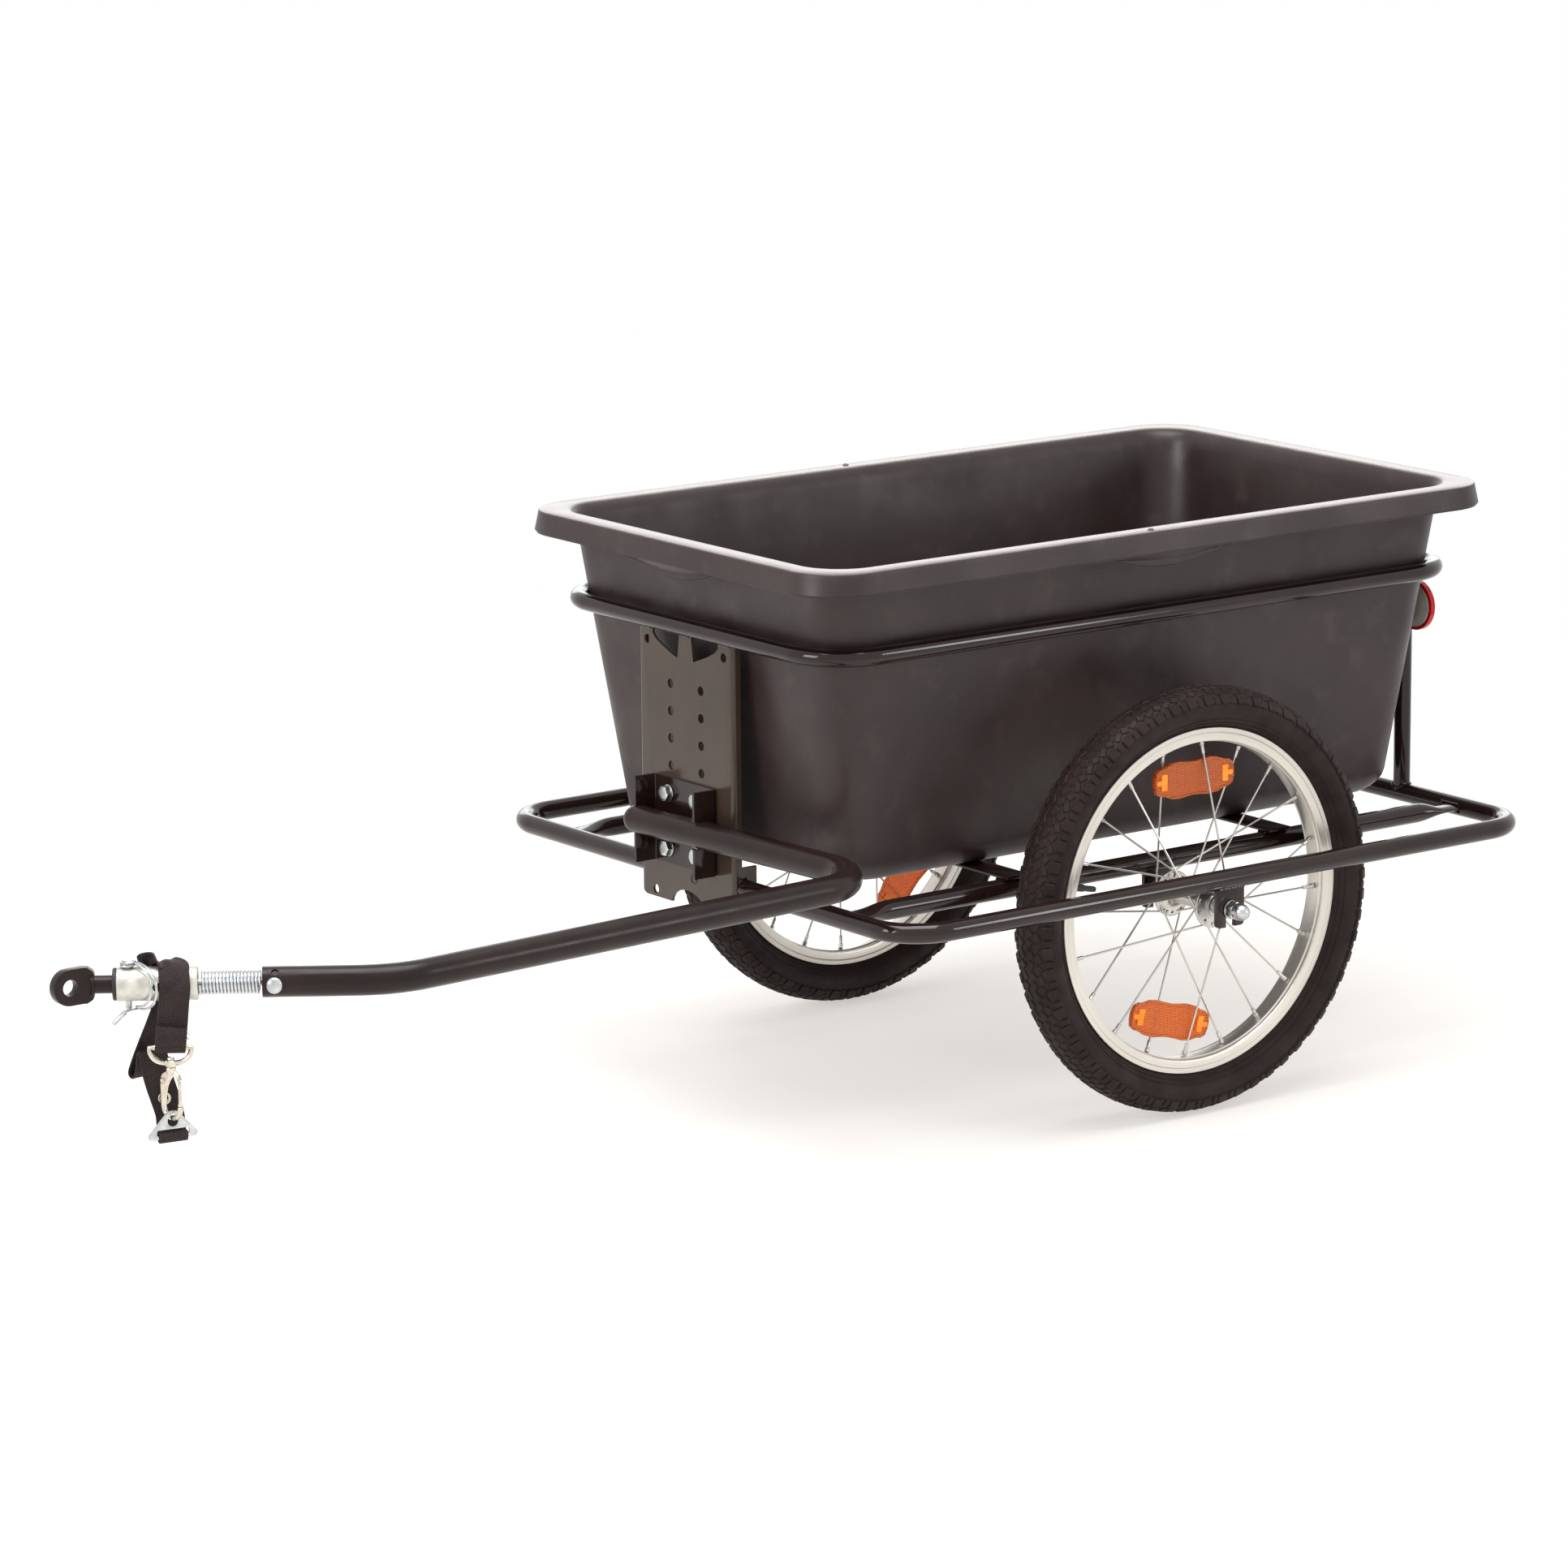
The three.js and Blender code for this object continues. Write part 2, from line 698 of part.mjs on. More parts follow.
// Pieces along the arm are made with X along it, from the drawbar's end, and Y to its left.
const arm = new THREE.Group();
arm.position.copy(drawbar.end);
arm.rotation.z = radians(drawbar.heading);
trailer.add(arm);

const crossBoltGrip = drawbarRadius + seatGap;

function makeDrawbar() {
  const { start, elbow, knee, end } = drawbar;
  const path = [
    start,
    ...bend(start, elbow, knee, drawbarElbowRadius, 2 * bendSteps),
    ...bend(elbow, knee, end, drawbarTipRadius),
    end,
  ];
  const tube = openTube(path, drawbarRadius, turnedSegments);
  const dome = new THREE.SphereGeometry(drawbarRadius, turnedSegments, smallSegments);
  dome.translate(start.x, start.y, start.z);
  const socket = rodAlongX(drawbarRadius - drawbarWall, -drawbarSocketDepth, cutOverrun, turnedSegments);
  const boltHole = rod(clear(crossBoltRadius, smallSegments), -2 * drawbarRadius, 2 * drawbarRadius);
  boltHole.translate(-crossBoltSetback, 0, 0);
  const cutters = [socket, boltHole].map((cutter) => cutter.rotateZ(arm.rotation.z).translate(end.x, end.y, end.z));
  place('drawbar_tube', cut(join(tube, dome), ...cutters), satinSteel);
}

function makeCrossBolt() {
  const nut = crossBoltGrip + crossBoltHeadHeight;
  const bolt = turned([
    [0, -nut - boltTail],
    [crossBoltRadius, -nut - boltTail],
    [crossBoltRadius, -nut],
    [crossBoltNutRadius, -nut],
    [crossBoltNutRadius, -crossBoltGrip],
    [crossBoltRadius, -crossBoltGrip],
    [crossBoltRadius, crossBoltGrip],
    [crossBoltHeadRadius, crossBoltGrip],
    [crossBoltHeadRadius * 0.8, crossBoltGrip + crossBoltHeadHeight * 0.65],
    [0, crossBoltGrip + crossBoltHeadHeight],
  ]);
  place('drawbar_cross_bolt', bolt.translate(-crossBoltSetback, 0, 0), zincSteel, arm);
}

// Sprung coupling

const beadPlace = springLength / 2;
const sleeveStart = springLength;
const sleeveEnd = sleeveStart + sleeveLength;
const bushBore = clear(stubRadius, turnedSegments);
const sleeveBore = clear(bushBore + bushWall, sleeveSegments);
const stubStart = sleeveEnd - stubInside;
const stubEnd = sleeveEnd + stubOutside;
const pinStation = sleeveStart + pinPlace;

// The coil is one wire: a straight end square to the drawbar, the curls, and a straight end
// square to the sleeve.
function springPath() {
  const coilRadius = springOuterRadius - springWireRadius;
  const tail = 2 * springWireRadius;
  const from = seatGap + tail + springWireRadius;
  const to = springLength - from;
  const steps = springCurls * 8;
  const points = [at(seatGap, coilRadius, 0), at(seatGap + tail, coilRadius, 0)];
  for (let k = 0; k <= steps; k += 1) {
    const share = k / steps;
    const angle = 2 * Math.PI * (springCurls * share) + Math.PI / 8;
    const x = from + (to - from) * share;
    points.push(at(x, coilRadius * Math.cos(angle), coilRadius * Math.sin(angle)));
  }
  const endAngle = Math.PI / 4;
  const endY = coilRadius * Math.cos(endAngle);
  const endZ = coilRadius * Math.sin(endAngle);
  points.push(at(springLength - seatGap - tail, endY, endZ), at(springLength - seatGap, endY, endZ));
  return points;
}

// The least clear space between turns of the wire that aren't next to each other along it.
function leastSpringGap(points) {
  let least = Infinity;
  for (let a = 0; a < points.length; a += 1) {
    for (let b = a + 5; b < points.length; b += 1) {
      least = Math.min(least, points[a].distanceTo(points[b]) - 2 * springWireRadius);
    }
  }
  return least;
}

function makeSpring() {
  const path = springPath();
  console.log(`coupling_spring: least gap to itself ${leastSpringGap(path).toFixed(2)} mm`);
  place('coupling_spring', openTube(path, springWireRadius, 5), zincSteel, arm);
}

function makeSpringCore() {
  const plugRadius = drawbarRadius - drawbarWall - seatGap;
  const reach = coreBeadRadius + runningGap;
  const plug = turnedAlongX([
    [0, -corePlugLength],
    [plugRadius, -corePlugLength],
    [plugRadius, -seatGap],
    [coreStudRadius, -seatGap],
    [coreStudRadius, beadPlace - reach],
    [0, beadPlace - reach],
  ]);
  const hole = rod(clear(crossBoltRadius, smallSegments), -2 * plugRadius, 2 * plugRadius);
  hole.translate(-crossBoltSetback, 0, 0);
  place('spring_plug', cut(plug, hole), zincSteel, arm);
  const bead = new THREE.SphereGeometry(coreBeadRadius, smallSegments, smallSegments);
  place('core_bead', bead.translate(beadPlace, 0, 0), zincSteel, arm);
  const inner = sleeveStart + sleeveEndWall + seatGap;
  const stud = turnedAlongX([
    [0, beadPlace + reach],
    [coreStudRadius, beadPlace + reach],
    [coreStudRadius, inner],
    [coreStudHeadRadius, inner],
    [coreStudHeadRadius, inner + coreStudHeadLength],
    [0, inner + coreStudHeadLength],
  ], smallSegments);
  place('spring_stud', stud, zincSteel, arm);
}

function makeSleeve() {
  const wall = sleeveStart + sleeveEndWall;
  const sleeve = turnedAlongX([
    [clear(coreStudRadius, sleeveSegments), sleeveStart],
    [sleeveRadius, sleeveStart],
    [sleeveRadius, sleeveEnd],
    [sleeveBore, sleeveEnd],
    [sleeveBore, wall],
    [clear(coreStudRadius, sleeveSegments), wall],
  ], sleeveSegments);
  const pinHole = rodAlongZ(clear(pinRadius, smallSegments), -2 * sleeveRadius, 2 * sleeveRadius);
  pinHole.translate(pinStation, 0, 0);
  const sideHole = rod(sleeveHoleRadius, -2 * sleeveRadius, 2 * sleeveRadius);
  sideHole.translate(sleeveStart + sleeveHolePlace, 0, 0);
  place('coupling_sleeve', cut(sleeve, pinHole, sideHole), zincSteel, arm);
  const bushOuter = bushBore + bushWall;
  const face = sleeveEnd + seatGap;
  const bush = turnedAlongX([
    [bushBore, sleeveEnd - bushLength],
    [bushOuter, sleeveEnd - bushLength],
    [bushOuter, face],
    [bushFlangeRadius, face],
    [bushFlangeRadius, face + bushFlange],
    [bushBore, face + bushFlange],
  ]);
  place('sleeve_bush', cut(bush, pinHole), blackPlastic, arm);
  const stub = rodAlongX(stubRadius, stubStart, stubEnd + eyeWeldLap, turnedSegments);
  const lap = eyePlateThickness / 2 + seatGap;
  const slot = box(stubEnd - seatGap, stubEnd + 2 * eyeWeldLap, -lap, lap, -2 * stubRadius, 2 * stubRadius);
  place('hitch_stub', cut(stub, slot, pinHole), satinSteel, arm);
}

// The eye is a flat bar bent so that its hole lies along Y, like the bicycle's axle.
function makeEye() {
  const half = eyePlateHalfHeight;
  const neck = new THREE.Shape();
  neck.moveTo(0, half - eyeChamfer);
  neck.lineTo(0, eyeChamfer - half);
  neck.lineTo(eyeChamfer, -half);
  neck.lineTo(eyeNeckLength, -half);
  neck.lineTo(eyeNeckLength, half);
  neck.lineTo(eyeChamfer, half);
  const neckPlate = sheetFacingSideways(neck, eyePlateThickness, 0).translate(stubEnd, 0, 0);
  const nose = new THREE.Shape();
  nose.moveTo(0, half);
  nose.lineTo(0, -half);
  nose.lineTo(eyeReach, -half);
  nose.absarc(eyeReach, 0, half, -Math.PI / 2, Math.PI / 2, false);
  const hole = new THREE.Path();
  hole.absarc(eyeReach, 0, eyeHoleRadius, 0, 2 * Math.PI, true);
  nose.holes = [hole];
  const nosePlate = sheetFacingSideways(nose, eyePlateThickness, 0);
  nosePlate.rotateZ(-arm.rotation.z).translate(stubEnd + eyeNeckLength, 0, 0);
  const knuckle = rodAlongZ(eyePlateThickness / 2, -half, half).translate(stubEnd + eyeNeckLength, 0, 0);
  place('hitch_eye', join(neckPlate, knuckle, nosePlate), satinSteel, arm);
}

// Linch pin

const bowPivotHeight = sleeveRadius + seatGap + bowSwivelRise;
const bowTipHeight = -sleeveRadius - pinTipLength + bowWireRadius;

function makePin() {
  const headStart = sleeveRadius + seatGap;
  const tip = -sleeveRadius - pinTipLength;
  const pin = turnedAlongZ([
    [0, tip],
    [pinRadius * 0.6, tip],
    [pinRadius, tip + pinRadius],
    [pinRadius, headStart],
    [pinHeadRadius, headStart],
    [pinHeadRadius, headStart + pinHeadHeight],
    [0, headStart + pinHeadHeight],
  ], smallSegments);
  const cross = rod(clear(bowWireRadius, smallSegments), -2 * pinHeadRadius, 2 * pinHeadRadius);
  cross.rotateZ(radians(bowTurn) - Math.PI / 2).translate(0, 0, bowPivotHeight);
  place('linch_pin', cut(pin, cross).translate(pinStation, 0, 0), zincSteel, arm);
}

// The bow is one wire: through the pin's head, round the sleeve's side, past the pin's tip
// and out to a short lever.
function makeBow() {
  const outward = at(-Math.sin(radians(bowTurn)), Math.cos(radians(bowTurn)), 0);
  const across = at(Math.cos(radians(bowTurn)), Math.sin(radians(bowTurn)), 0);
  const on = (bulge, side, height) => at(pinStation, 0, height)
    .addScaledVector(outward, bulge)
    .addScaledVector(across, side);
  const middle = (bowPivotHeight + bowTipHeight) / 2;
  const half = (bowPivotHeight - bowTipHeight) / 2;
  const rest = pinRadius + bowWireRadius + runningGap;
  const points = [on(0, bowOffset, bowPivotHeight), on(0, -bowOffset + bowWireRadius, bowPivotHeight)];
  const steps = 12;
  for (let k = 1; k < steps; k += 1) {
    const angle = Math.PI * (k / steps);
    points.push(on(bowBulge * Math.sin(angle), -bowOffset, middle + half * Math.cos(angle)));
  }
  points.push(on(rest, -bowOffset + bowWireRadius, bowTipHeight));
  points.push(on(rest, bowOffset - bowWireRadius, bowTipHeight));
  points.push(on(rest, bowOffset + bowTailLength, bowTipHeight - bowTailDrop));
  place('pin_bow', openTube(points, bowWireRadius, 6), zincSteel, arm);
}

// Safety strap

const strapStation = sleeveStart + strapPlace;
const ringStation = strapStation + hookPlace;
const wrapRadius = clear(sleeveRadius + strapThickness / 2, 2 * wrapSteps);
const foldRadius = clear(ringWireRadius + strapThickness / 2, 2 * foldSteps);
const ringPlane = sleeveRadius + seatGap;
const bossTop = -strapRingBar - strapRingDepth + swivelBossHeight / 2;
const bossFoot = bossTop - swivelBossHeight;
const hookTop = bossFoot - seatGap;
const hookFoot = hookTop - swivelNeck - hookDrop;
const linkHoleHeight = hookFoot + hookWireRadius + 2 * runningGap - linkHoleRadius;
const strapDrop = linkHeight - linkHoleHeight;
const linkTurnAngle = radians(linkTurn);

// The strap's middle line, as [along, out, up] shares of its drop, with the turn of its width
// in degrees: from the sleeve's back down into a slack fold, and on to the link's slot.
const slackRouteShares = [
  [0.015, -0.124, -0.14, 0],
  [0.07, -0.12, -0.295, 4],
  [0.14, -0.11, -0.45, 8],
  [0.186, -0.098, -0.58, 12],
  [0.19, -0.086, -0.605, 14],
  [0.182, -0.066, -0.58, 16],
  [0.155, -0.054, -0.48, 18],
  [0.147, -0.04, -0.461, 18],
  [0.139, -0.026, -0.48, 18],
  [0.118, -0.012, -0.68, 20],
  [0.085, 0.008, -0.868, 24],
];

function strapRings() {
  const rows = [];
  const add = (x, y, z, turn = 0) => rows.push({ point: at(x, y, z), turn: radians(turn) });
  const lean = hookPlace / strapRingBar;
  const front = (y, z) => add(strapStation - lean * z, y, z);
  front(ringPlane + foldRadius, -strapRingBar * 0.68);
  for (let k = 0; k <= foldSteps; k += 1) {
    const angle = Math.PI * (k / foldSteps);
    front(ringPlane + foldRadius * Math.cos(angle), -strapRingBar - foldRadius * Math.sin(angle));
  }
  for (let k = 0; k <= wrapSteps; k += 1) {
    const angle = Math.PI * (k / wrapSteps);
    add(strapStation, wrapRadius * Math.cos(angle), wrapRadius * Math.sin(angle));
  }
  for (const [x, y, z, turn] of slackRouteShares) {
    add(strapStation + strapDrop * x, strapDrop * y, strapDrop * z, turn);
  }
  const foot = -strapDrop - linkFootHeight / 2;
  const around = clear((strapThickness + linkThickness) / 2, 2 * foldSteps);
  const near = (out, up) => add(
    ringStation - out * Math.sin(linkTurnAngle),
    ringPlane + out * Math.cos(linkTurnAngle),
    foot + up,
    linkTurn,
  );
  near(-around * 1.3, linkFootHeight);
  for (let k = 0; k <= foldSteps; k += 1) {
    const angle = Math.PI * (k / foldSteps);
    near(-around * Math.cos(angle), -around * Math.sin(angle));
  }
  near(around, linkFootHeight + strapThickness / 2);
  near(0, linkFootHeight + strapThickness);
  return rows;
}

// A flat ribbon with square edges that follows the rows' points and the turn of its width.
function ribbon(rows) {
  const rings = rows.map(({ point, turn }, k) => {
    const before = rows[Math.max(k - 1, 0)].point;
    const after = rows[Math.min(k + 1, rows.length - 1)].point;
    const along = after.clone().sub(before).normalize();
    const wide = at(Math.cos(turn), Math.sin(turn), 0);
    wide.addScaledVector(along, -wide.dot(along)).normalize();
    const thick = along.clone().cross(wide);
    const corner = (a, b) => point.clone()
      .addScaledVector(wide, a * (strapWidth / 2))
      .addScaledVector(thick, b * (strapThickness / 2));
    return [corner(1, 1), corner(-1, 1), corner(-1, -1), corner(1, -1)];
  });
  return skin(rings);
}

function makeStrap() {
  const rows = strapRings();
  place('safety_strap', ribbon(rows), webbing, arm);
  const upper = rows[rows.length - slackEndRows - 2];
  const lower = rows[rows.length - slackEndRows - 1];
  const along = upper.point.clone().sub(lower.point).normalize();
  const wide = at(Math.cos(lower.turn), Math.sin(lower.turn), 0);
  wide.addScaledVector(along, -wide.dot(along)).normalize();
  const outward = wide.clone().cross(along).negate();
  const seat = upper.point.clone().lerp(lower.point, 0.5).addScaledVector(outward, strapThickness / 2 + 3 * seatGap);
  const eyelet = ringAlong(eyeletHoleRadius, eyeletRadius, 0, eyeletThickness, turnedSegments);
  eyelet.applyMatrix4(new THREE.Matrix4().makeBasis(along, outward, wide.negate()).setPosition(seat));
  place('strap_eyelet', eyelet, nickelSteel, arm);
}

function makeStrapRing() {
  const points = [];
  const steps = 12;
  for (let k = 0; k <= steps; k += 1) {
    const angle = Math.PI * (k / steps);
    points.push(at(
      strapRingHalfWidth * Math.cos(angle),
      0,
      -strapRingBar - strapRingDepth * Math.sin(angle),
    ));
  }
  points.push(at(0, 0, -strapRingBar));
  const boss = rodAlongZ(swivelBossRadius, bossFoot, bossTop, turnedSegments);
  const bore = rodAlongZ(clear(swivelStemRadius, smallSegments), bossFoot - cutOverrun, bossTop + cutOverrun);
  const ring = cut(join(closedTube(points, ringWireRadius, 6), boss), bore);
  place('strap_ring', ring.translate(ringStation, ringPlane, 0), nickelSteel, arm);
}

function makeHook() {
  const headStart = bossTop + seatGap;
  const stem = turnedAlongZ([
    [0, hookTop - swivelNeck - hookWireRadius],
    [hookWireRadius * 1.6, hookTop - swivelNeck],
    [hookWireRadius * 1.6, hookTop],
    [swivelStemRadius, hookTop],
    [swivelStemRadius, headStart],
    [swivelHeadRadius, headStart],
    [swivelHeadRadius, headStart + swivelHeadHeight],
    [0, headStart + swivelHeadHeight],
  ], smallSegments);
  const top = hookTop - swivelNeck;
  const shoulder = top - hookShoulder;
  const round = hookFoot + hookHalfWidth;
  const spine = [at(0, 0, top), at(-hookHalfWidth * 0.75, 0, top - hookShoulder * 0.4)];
  spine.push(at(-hookHalfWidth, 0, shoulder));
  for (let k = 0; k <= 8; k += 1) {
    const angle = Math.PI * (k / 8);
    spine.push(at(-hookHalfWidth * Math.cos(angle), 0, round - hookHalfWidth * Math.sin(angle)));
  }
  spine.push(at(hookHalfWidth, 0, round + hookNoseRise));
  const lug = [at(0, 0, top), at(hookHalfWidth * 0.6, 0, top - hookShoulder * 0.3)];
  lug.push(at(hookHalfWidth, 0, shoulder + hookWireRadius));
  lug.push(at(hookHalfWidth, 0, shoulder));
  const hook = join(
    stem,
    openTube(spine, hookWireRadius, 6),
    openTube(lug, hookWireRadius, 6),
    new THREE.SphereGeometry(hookWireRadius, smallSegments, smallSegments).translate(0, 0, top),
  );
  const turn = radians(hookTurn);
  hook.rotateZ(turn).translate(ringStation, ringPlane, 0);
  place('snap_hook', hook, nickelSteel, arm);
  const gate = rodAlongZ(gateWireRadius, round + hookNoseRise + runningGap, shoulder - runningGap);
  gate.translate(hookHalfWidth, 0, 0).rotateZ(turn).translate(ringStation, ringPlane, 0);
  place('hook_gate', gate, nickelSteel, arm);
}

function makeLink() {
  const base = -linkFootHeight / 2;
  const top = linkHeight;
  const outline = new THREE.Shape();
  const crown = linkHoleRadius + linkRimWidth;
  outline.moveTo(-linkHalfWidth, base);
  outline.lineTo(linkHalfWidth, base);
  outline.lineTo(linkHalfWidth, linkFootHeight);
  outline.lineTo(crown, top);
  outline.absarc(0, top, crown, 0, Math.PI, false);
  outline.lineTo(-linkHalfWidth, linkFootHeight);
  const slot = new THREE.Path();
  const slotBase = linkFootHeight / 2;
  slot.moveTo(-linkSlotHalfLength, slotBase);
  slot.lineTo(-linkSlotHalfLength, slotBase + linkSlotHeight);
  slot.lineTo(linkSlotHalfLength, slotBase + linkSlotHeight);
  slot.lineTo(linkSlotHalfLength, slotBase);
  const hole = new THREE.Path();
  hole.absarc(0, top, linkHoleRadius, 0, 2 * Math.PI, true);
  outline.holes = [slot, hole];
  const link = sheetFacingSideways(outline, linkThickness, 0);
  link.rotateZ(linkTurnAngle).translate(ringStation, ringPlane, -strapDrop);
  place('triangle_link', link, zincSteel, arm);
}

// Tub

// One level ring of the tub, measured from the wall's own outline.
function tubRing(halfLength, halfWidth, height, radius) {
  return roundedRectangle(tubPlace + halfLength, tubPlace - halfLength, halfWidth, height, radius);
}

function makeTub() {
  const rings = [];
  const wallAt = (height) => tubDraft * (height - tubBottom);
  const add = (grow, height, radius = tubCornerRadius) => rings.push(
    tubRing(tubFloorHalfLength + grow, tubFloorHalfWidth + grow, height, radius),
  );
  const edgeShares = [[-1, 0], [-0.5, 0.07], [-0.13, 0.45], [0, 1]];
  const rim = wallAt(tubTop) + rimOverhang;
  const lip = rim - rimLipWidth;
  const skirtFoot = tubTop - rimSkirtHeight;
  const skirtInner = rim - tubWall;
  const underLip = tubTop - tubWall;
  for (const [inset, rise] of edgeShares) {
    const height = tubBottom + rise * tubFloorEdgeRadius;
    add(wallAt(height) + inset * tubFloorEdgeRadius, height);
  }
  add(wallAt(underLip), underLip);
  add(skirtInner, underLip, rimCornerRadius - tubWall);
  add(skirtInner + rimSkirtFlare, skirtFoot, rimCornerRadius - tubWall);
  add(rim + rimSkirtFlare, skirtFoot, rimCornerRadius);
  add(rim, tubTop - rimEdgeRadius, rimCornerRadius);
  add(rim - rimEdgeRadius, tubTop, rimCornerRadius - rimEdgeRadius);
  add(lip, tubTop, rimCornerRadius - rimEdgeRadius);
  const inner = (height) => wallAt(height) - tubWall;
  const roll = lip - inner(tubTop);
  add(lip - roll * 0.6, tubTop - roll * 0.25);
  add(inner(tubTop - roll), tubTop - roll);
  const floor = tubBottom + tubWall;
  for (const [inset, rise] of edgeShares.slice().reverse()) {
    const radius = tubFloorEdgeRadius - tubWall;
    const height = floor + rise * radius;
    add(inner(height) + inset * radius, height, tubCornerRadius - tubWall);
  }
  return skin(rings);
}

// A finger grip is a crescent lip that hangs behind the skirt at the middle of each side.
function gripGeometry() {
  const crescent = new THREE.Shape();
  crescent.moveTo(-gripHalfLength, 0);
  crescent.quadraticCurveTo(0, -2 * gripDrop, gripHalfLength, 0);
  crescent.lineTo(gripHalfLength, gripRoot);
  crescent.lineTo(-gripHalfLength, gripRoot);
  return sheetFacingForward(crescent, tubWall, 0);
}

function makeTubWithGrips() {
  const foot = tubTop - rimSkirtHeight;
  const reach = tubDraft * (tubTop - tubBottom) + rimOverhang + rimSkirtFlare - gripInset;
  const halfLength = tubFloorHalfLength + reach;
  const halfWidth = tubFloorHalfWidth + reach;
  const grips = [];
  for (const side of [0, 1]) {
    const turn = side * Math.PI;
    grips.push(gripGeometry().translate(halfLength - tubWall, 0, foot).rotateZ(turn).translate(tubPlace, 0, 0));
    grips.push(gripGeometry().translate(halfWidth - tubWall, 0, foot).rotateZ(turn + Math.PI / 2).translate(tubPlace, 0, 0));
  }
  place('tub', join(makeTub(), ...grips), tubPlastic);
}

// Wheels

const nippleSeat = (rimRadius - rimHeight) * Math.cos(Math.PI / wheelSegments) - nippleGap;
const nippleStart = nippleSeat - nippleLength;

function tyreProfile() {
  const bead = rimRadius - rimFlange + seatGap;
  const beadHalf = rimHalfWidth - rimWall - seatGap;
  const lipRadius = rimRadius + seatGap;
  const crown = tyreRadius;
  const shoulder = tyreRadius - tyreHalfWidth * 0.35;
  const widest = (tyreRadius + rimRadius) / 2 - tyreWall * 0.4;
  const halfOut = [
    [bead, beadHalf],
    [lipRadius, beadHalf],
    [lipRadius + rimWall, rimHalfWidth],
    [widest, tyreHalfWidth],
    [shoulder, tyreHalfWidth * 0.88],
    [crown, tyreHalfWidth * 0.3],
  ];
  const halfIn = [
    [crown - tyreWall, tyreHalfWidth * 0.4],
    [widest, tyreHalfWidth - tyreWall],
    [bead, beadHalf - tyreWall],
  ];
  const mirror = (list) => list.map(([radius, y]) => [radius, -y]);
  return [...halfOut, ...mirror(halfOut).reverse(), ...mirror(halfIn).reverse(), ...halfIn];
}

function tubeProfile() {
  const low = clear(rimRadius - rimFlange, wheelSegments / 2, runningGap);
  const high = tyreRadius - tyreWall - 2 * runningGap;
  const widest = (tyreRadius + rimRadius) / 2 - tyreWall * 0.4;
  const half = tyreHalfWidth - 2 * tyreWall;
  const narrow = rimHalfWidth - rimWall - 2 * tyreWall + runningGap;
  return [[low, narrow], [widest, half], [high, half * 0.5], [high, -half * 0.5], [widest, -half], [low, -narrow]];
}

function rimProfile() {
  const seat = rimRadius - rimFlange;
  const well = seat - rimWall;
  const half = rimHalfWidth;
  const foot = rimRadius - rimHeight;
  const halfShape = [
    [seat, half - rimWall],
    [rimRadius, half - rimWall],
    [rimRadius, half],
    [foot + rimWall, half - rimWall * 0.5],
    [foot, half * 0.55],
  ];
  const mirrored = halfShape.map(([radius, y]) => [radius, -y]).reverse();
  return [[well, half * 0.35], ...halfShape, ...mirrored, [well, -half * 0.35]];
}

function hubProfile() {
  const half = [
    [hubBoreRadius, hubHalfLength],
    [hubEndRadius, hubHalfLength],
    [hubEndRadius, hubFlangeOffset + hubFlangeThickness / 2],
    [hubFlangeRadius, hubFlangeOffset + hubFlangeThickness / 2],
    [hubFlangeRadius, hubFlangeOffset - hubFlangeThickness / 2],
    [hubBarrelRadius, hubFlangeOffset - hubFlangeThickness * 2],
  ];
  return [...half, ...half.map(([radius, y]) => [radius, -y]).reverse()];
}

// Where each spoke starts on its flange and where it meets the rim.
function spokeEnds() {
  const ends = [];
  const perFlange = spokeCount / 2;
  const pitch = 360 / spokeCount;
  for (let k = 0; k < spokeCount; k += 1) {
    const flange = k % 2 === 0 ? -1 : 1;
    const lean = Math.floor((k + 3) / 2) % 2 === 0 ? 1 : -1;
    const rimAngle = radians(spokePhase + pitch * k);
    const hubAngle = rimAngle + lean * radians((360 / perFlange) * spokeCrosses);
    const face = (hubFlangeThickness + spokeRadius) / 2;
    const y = flange * hubFlangeOffset + lean * face;
    const hub = at(hubSpokeCircle * Math.cos(hubAngle), y, hubSpokeCircle * Math.sin(hubAngle));
    const rim = at(nippleSeat * Math.cos(rimAngle), 0, nippleSeat * Math.sin(rimAngle));
    ends.push([hub, rim]);
  }
  return ends;
}

// A rod of the given [radius, share] steps between two points.
function between(from, to, profile, sides) {
  const length = from.distanceTo(to);
  const direction = to.clone().sub(from).normalize();
  const turn = new THREE.Quaternion().setFromUnitVectors(at(0, 1, 0), direction);
  return turned(profile(length), sides).applyQuaternion(turn).translate(from.x, from.y, from.z);
}

function spokeGeometry([hub, rim], grow = 0) {
  return between(hub, rim, (length) => [
    [0, 0],
    [spokeRadius + grow, 0],
    [spokeRadius + grow, length - nippleLength],
    [nippleRadius + grow, length - nippleLength],
    [nippleRadius + grow, length],
    [0, length],
  ], 4);
}

function spokeReflectorGeometry(angle) {
  const long = spokeReflectorHalfLength;
  const high = spokeReflectorHalfHeight;
  const quarterShares = [[1, 0.3], [0.87, 0.55], [0.74, 0.55], [0.62, 1]];
  const outline = [];
  const corner = (sx, sy, list) => list.forEach(([a, b]) => outline.push(new THREE.Vector2(sx * long * a, sy * high * b)));
  corner(1, 1, quarterShares);
  corner(-1, 1, quarterShares.slice().reverse());
  corner(-1, -1, quarterShares);
  corner(1, -1, quarterShares.slice().reverse());
  const plate = sheetFacingSideways(new THREE.Shape(outline), spokeReflectorThickness, 0);
  plate.rotateY(radians(90) - radians(angle));
  return plate.translate(
    spokeReflectorCircle * Math.cos(radians(angle)),
    0,
    spokeReflectorCircle * Math.sin(radians(angle)),
  );
}

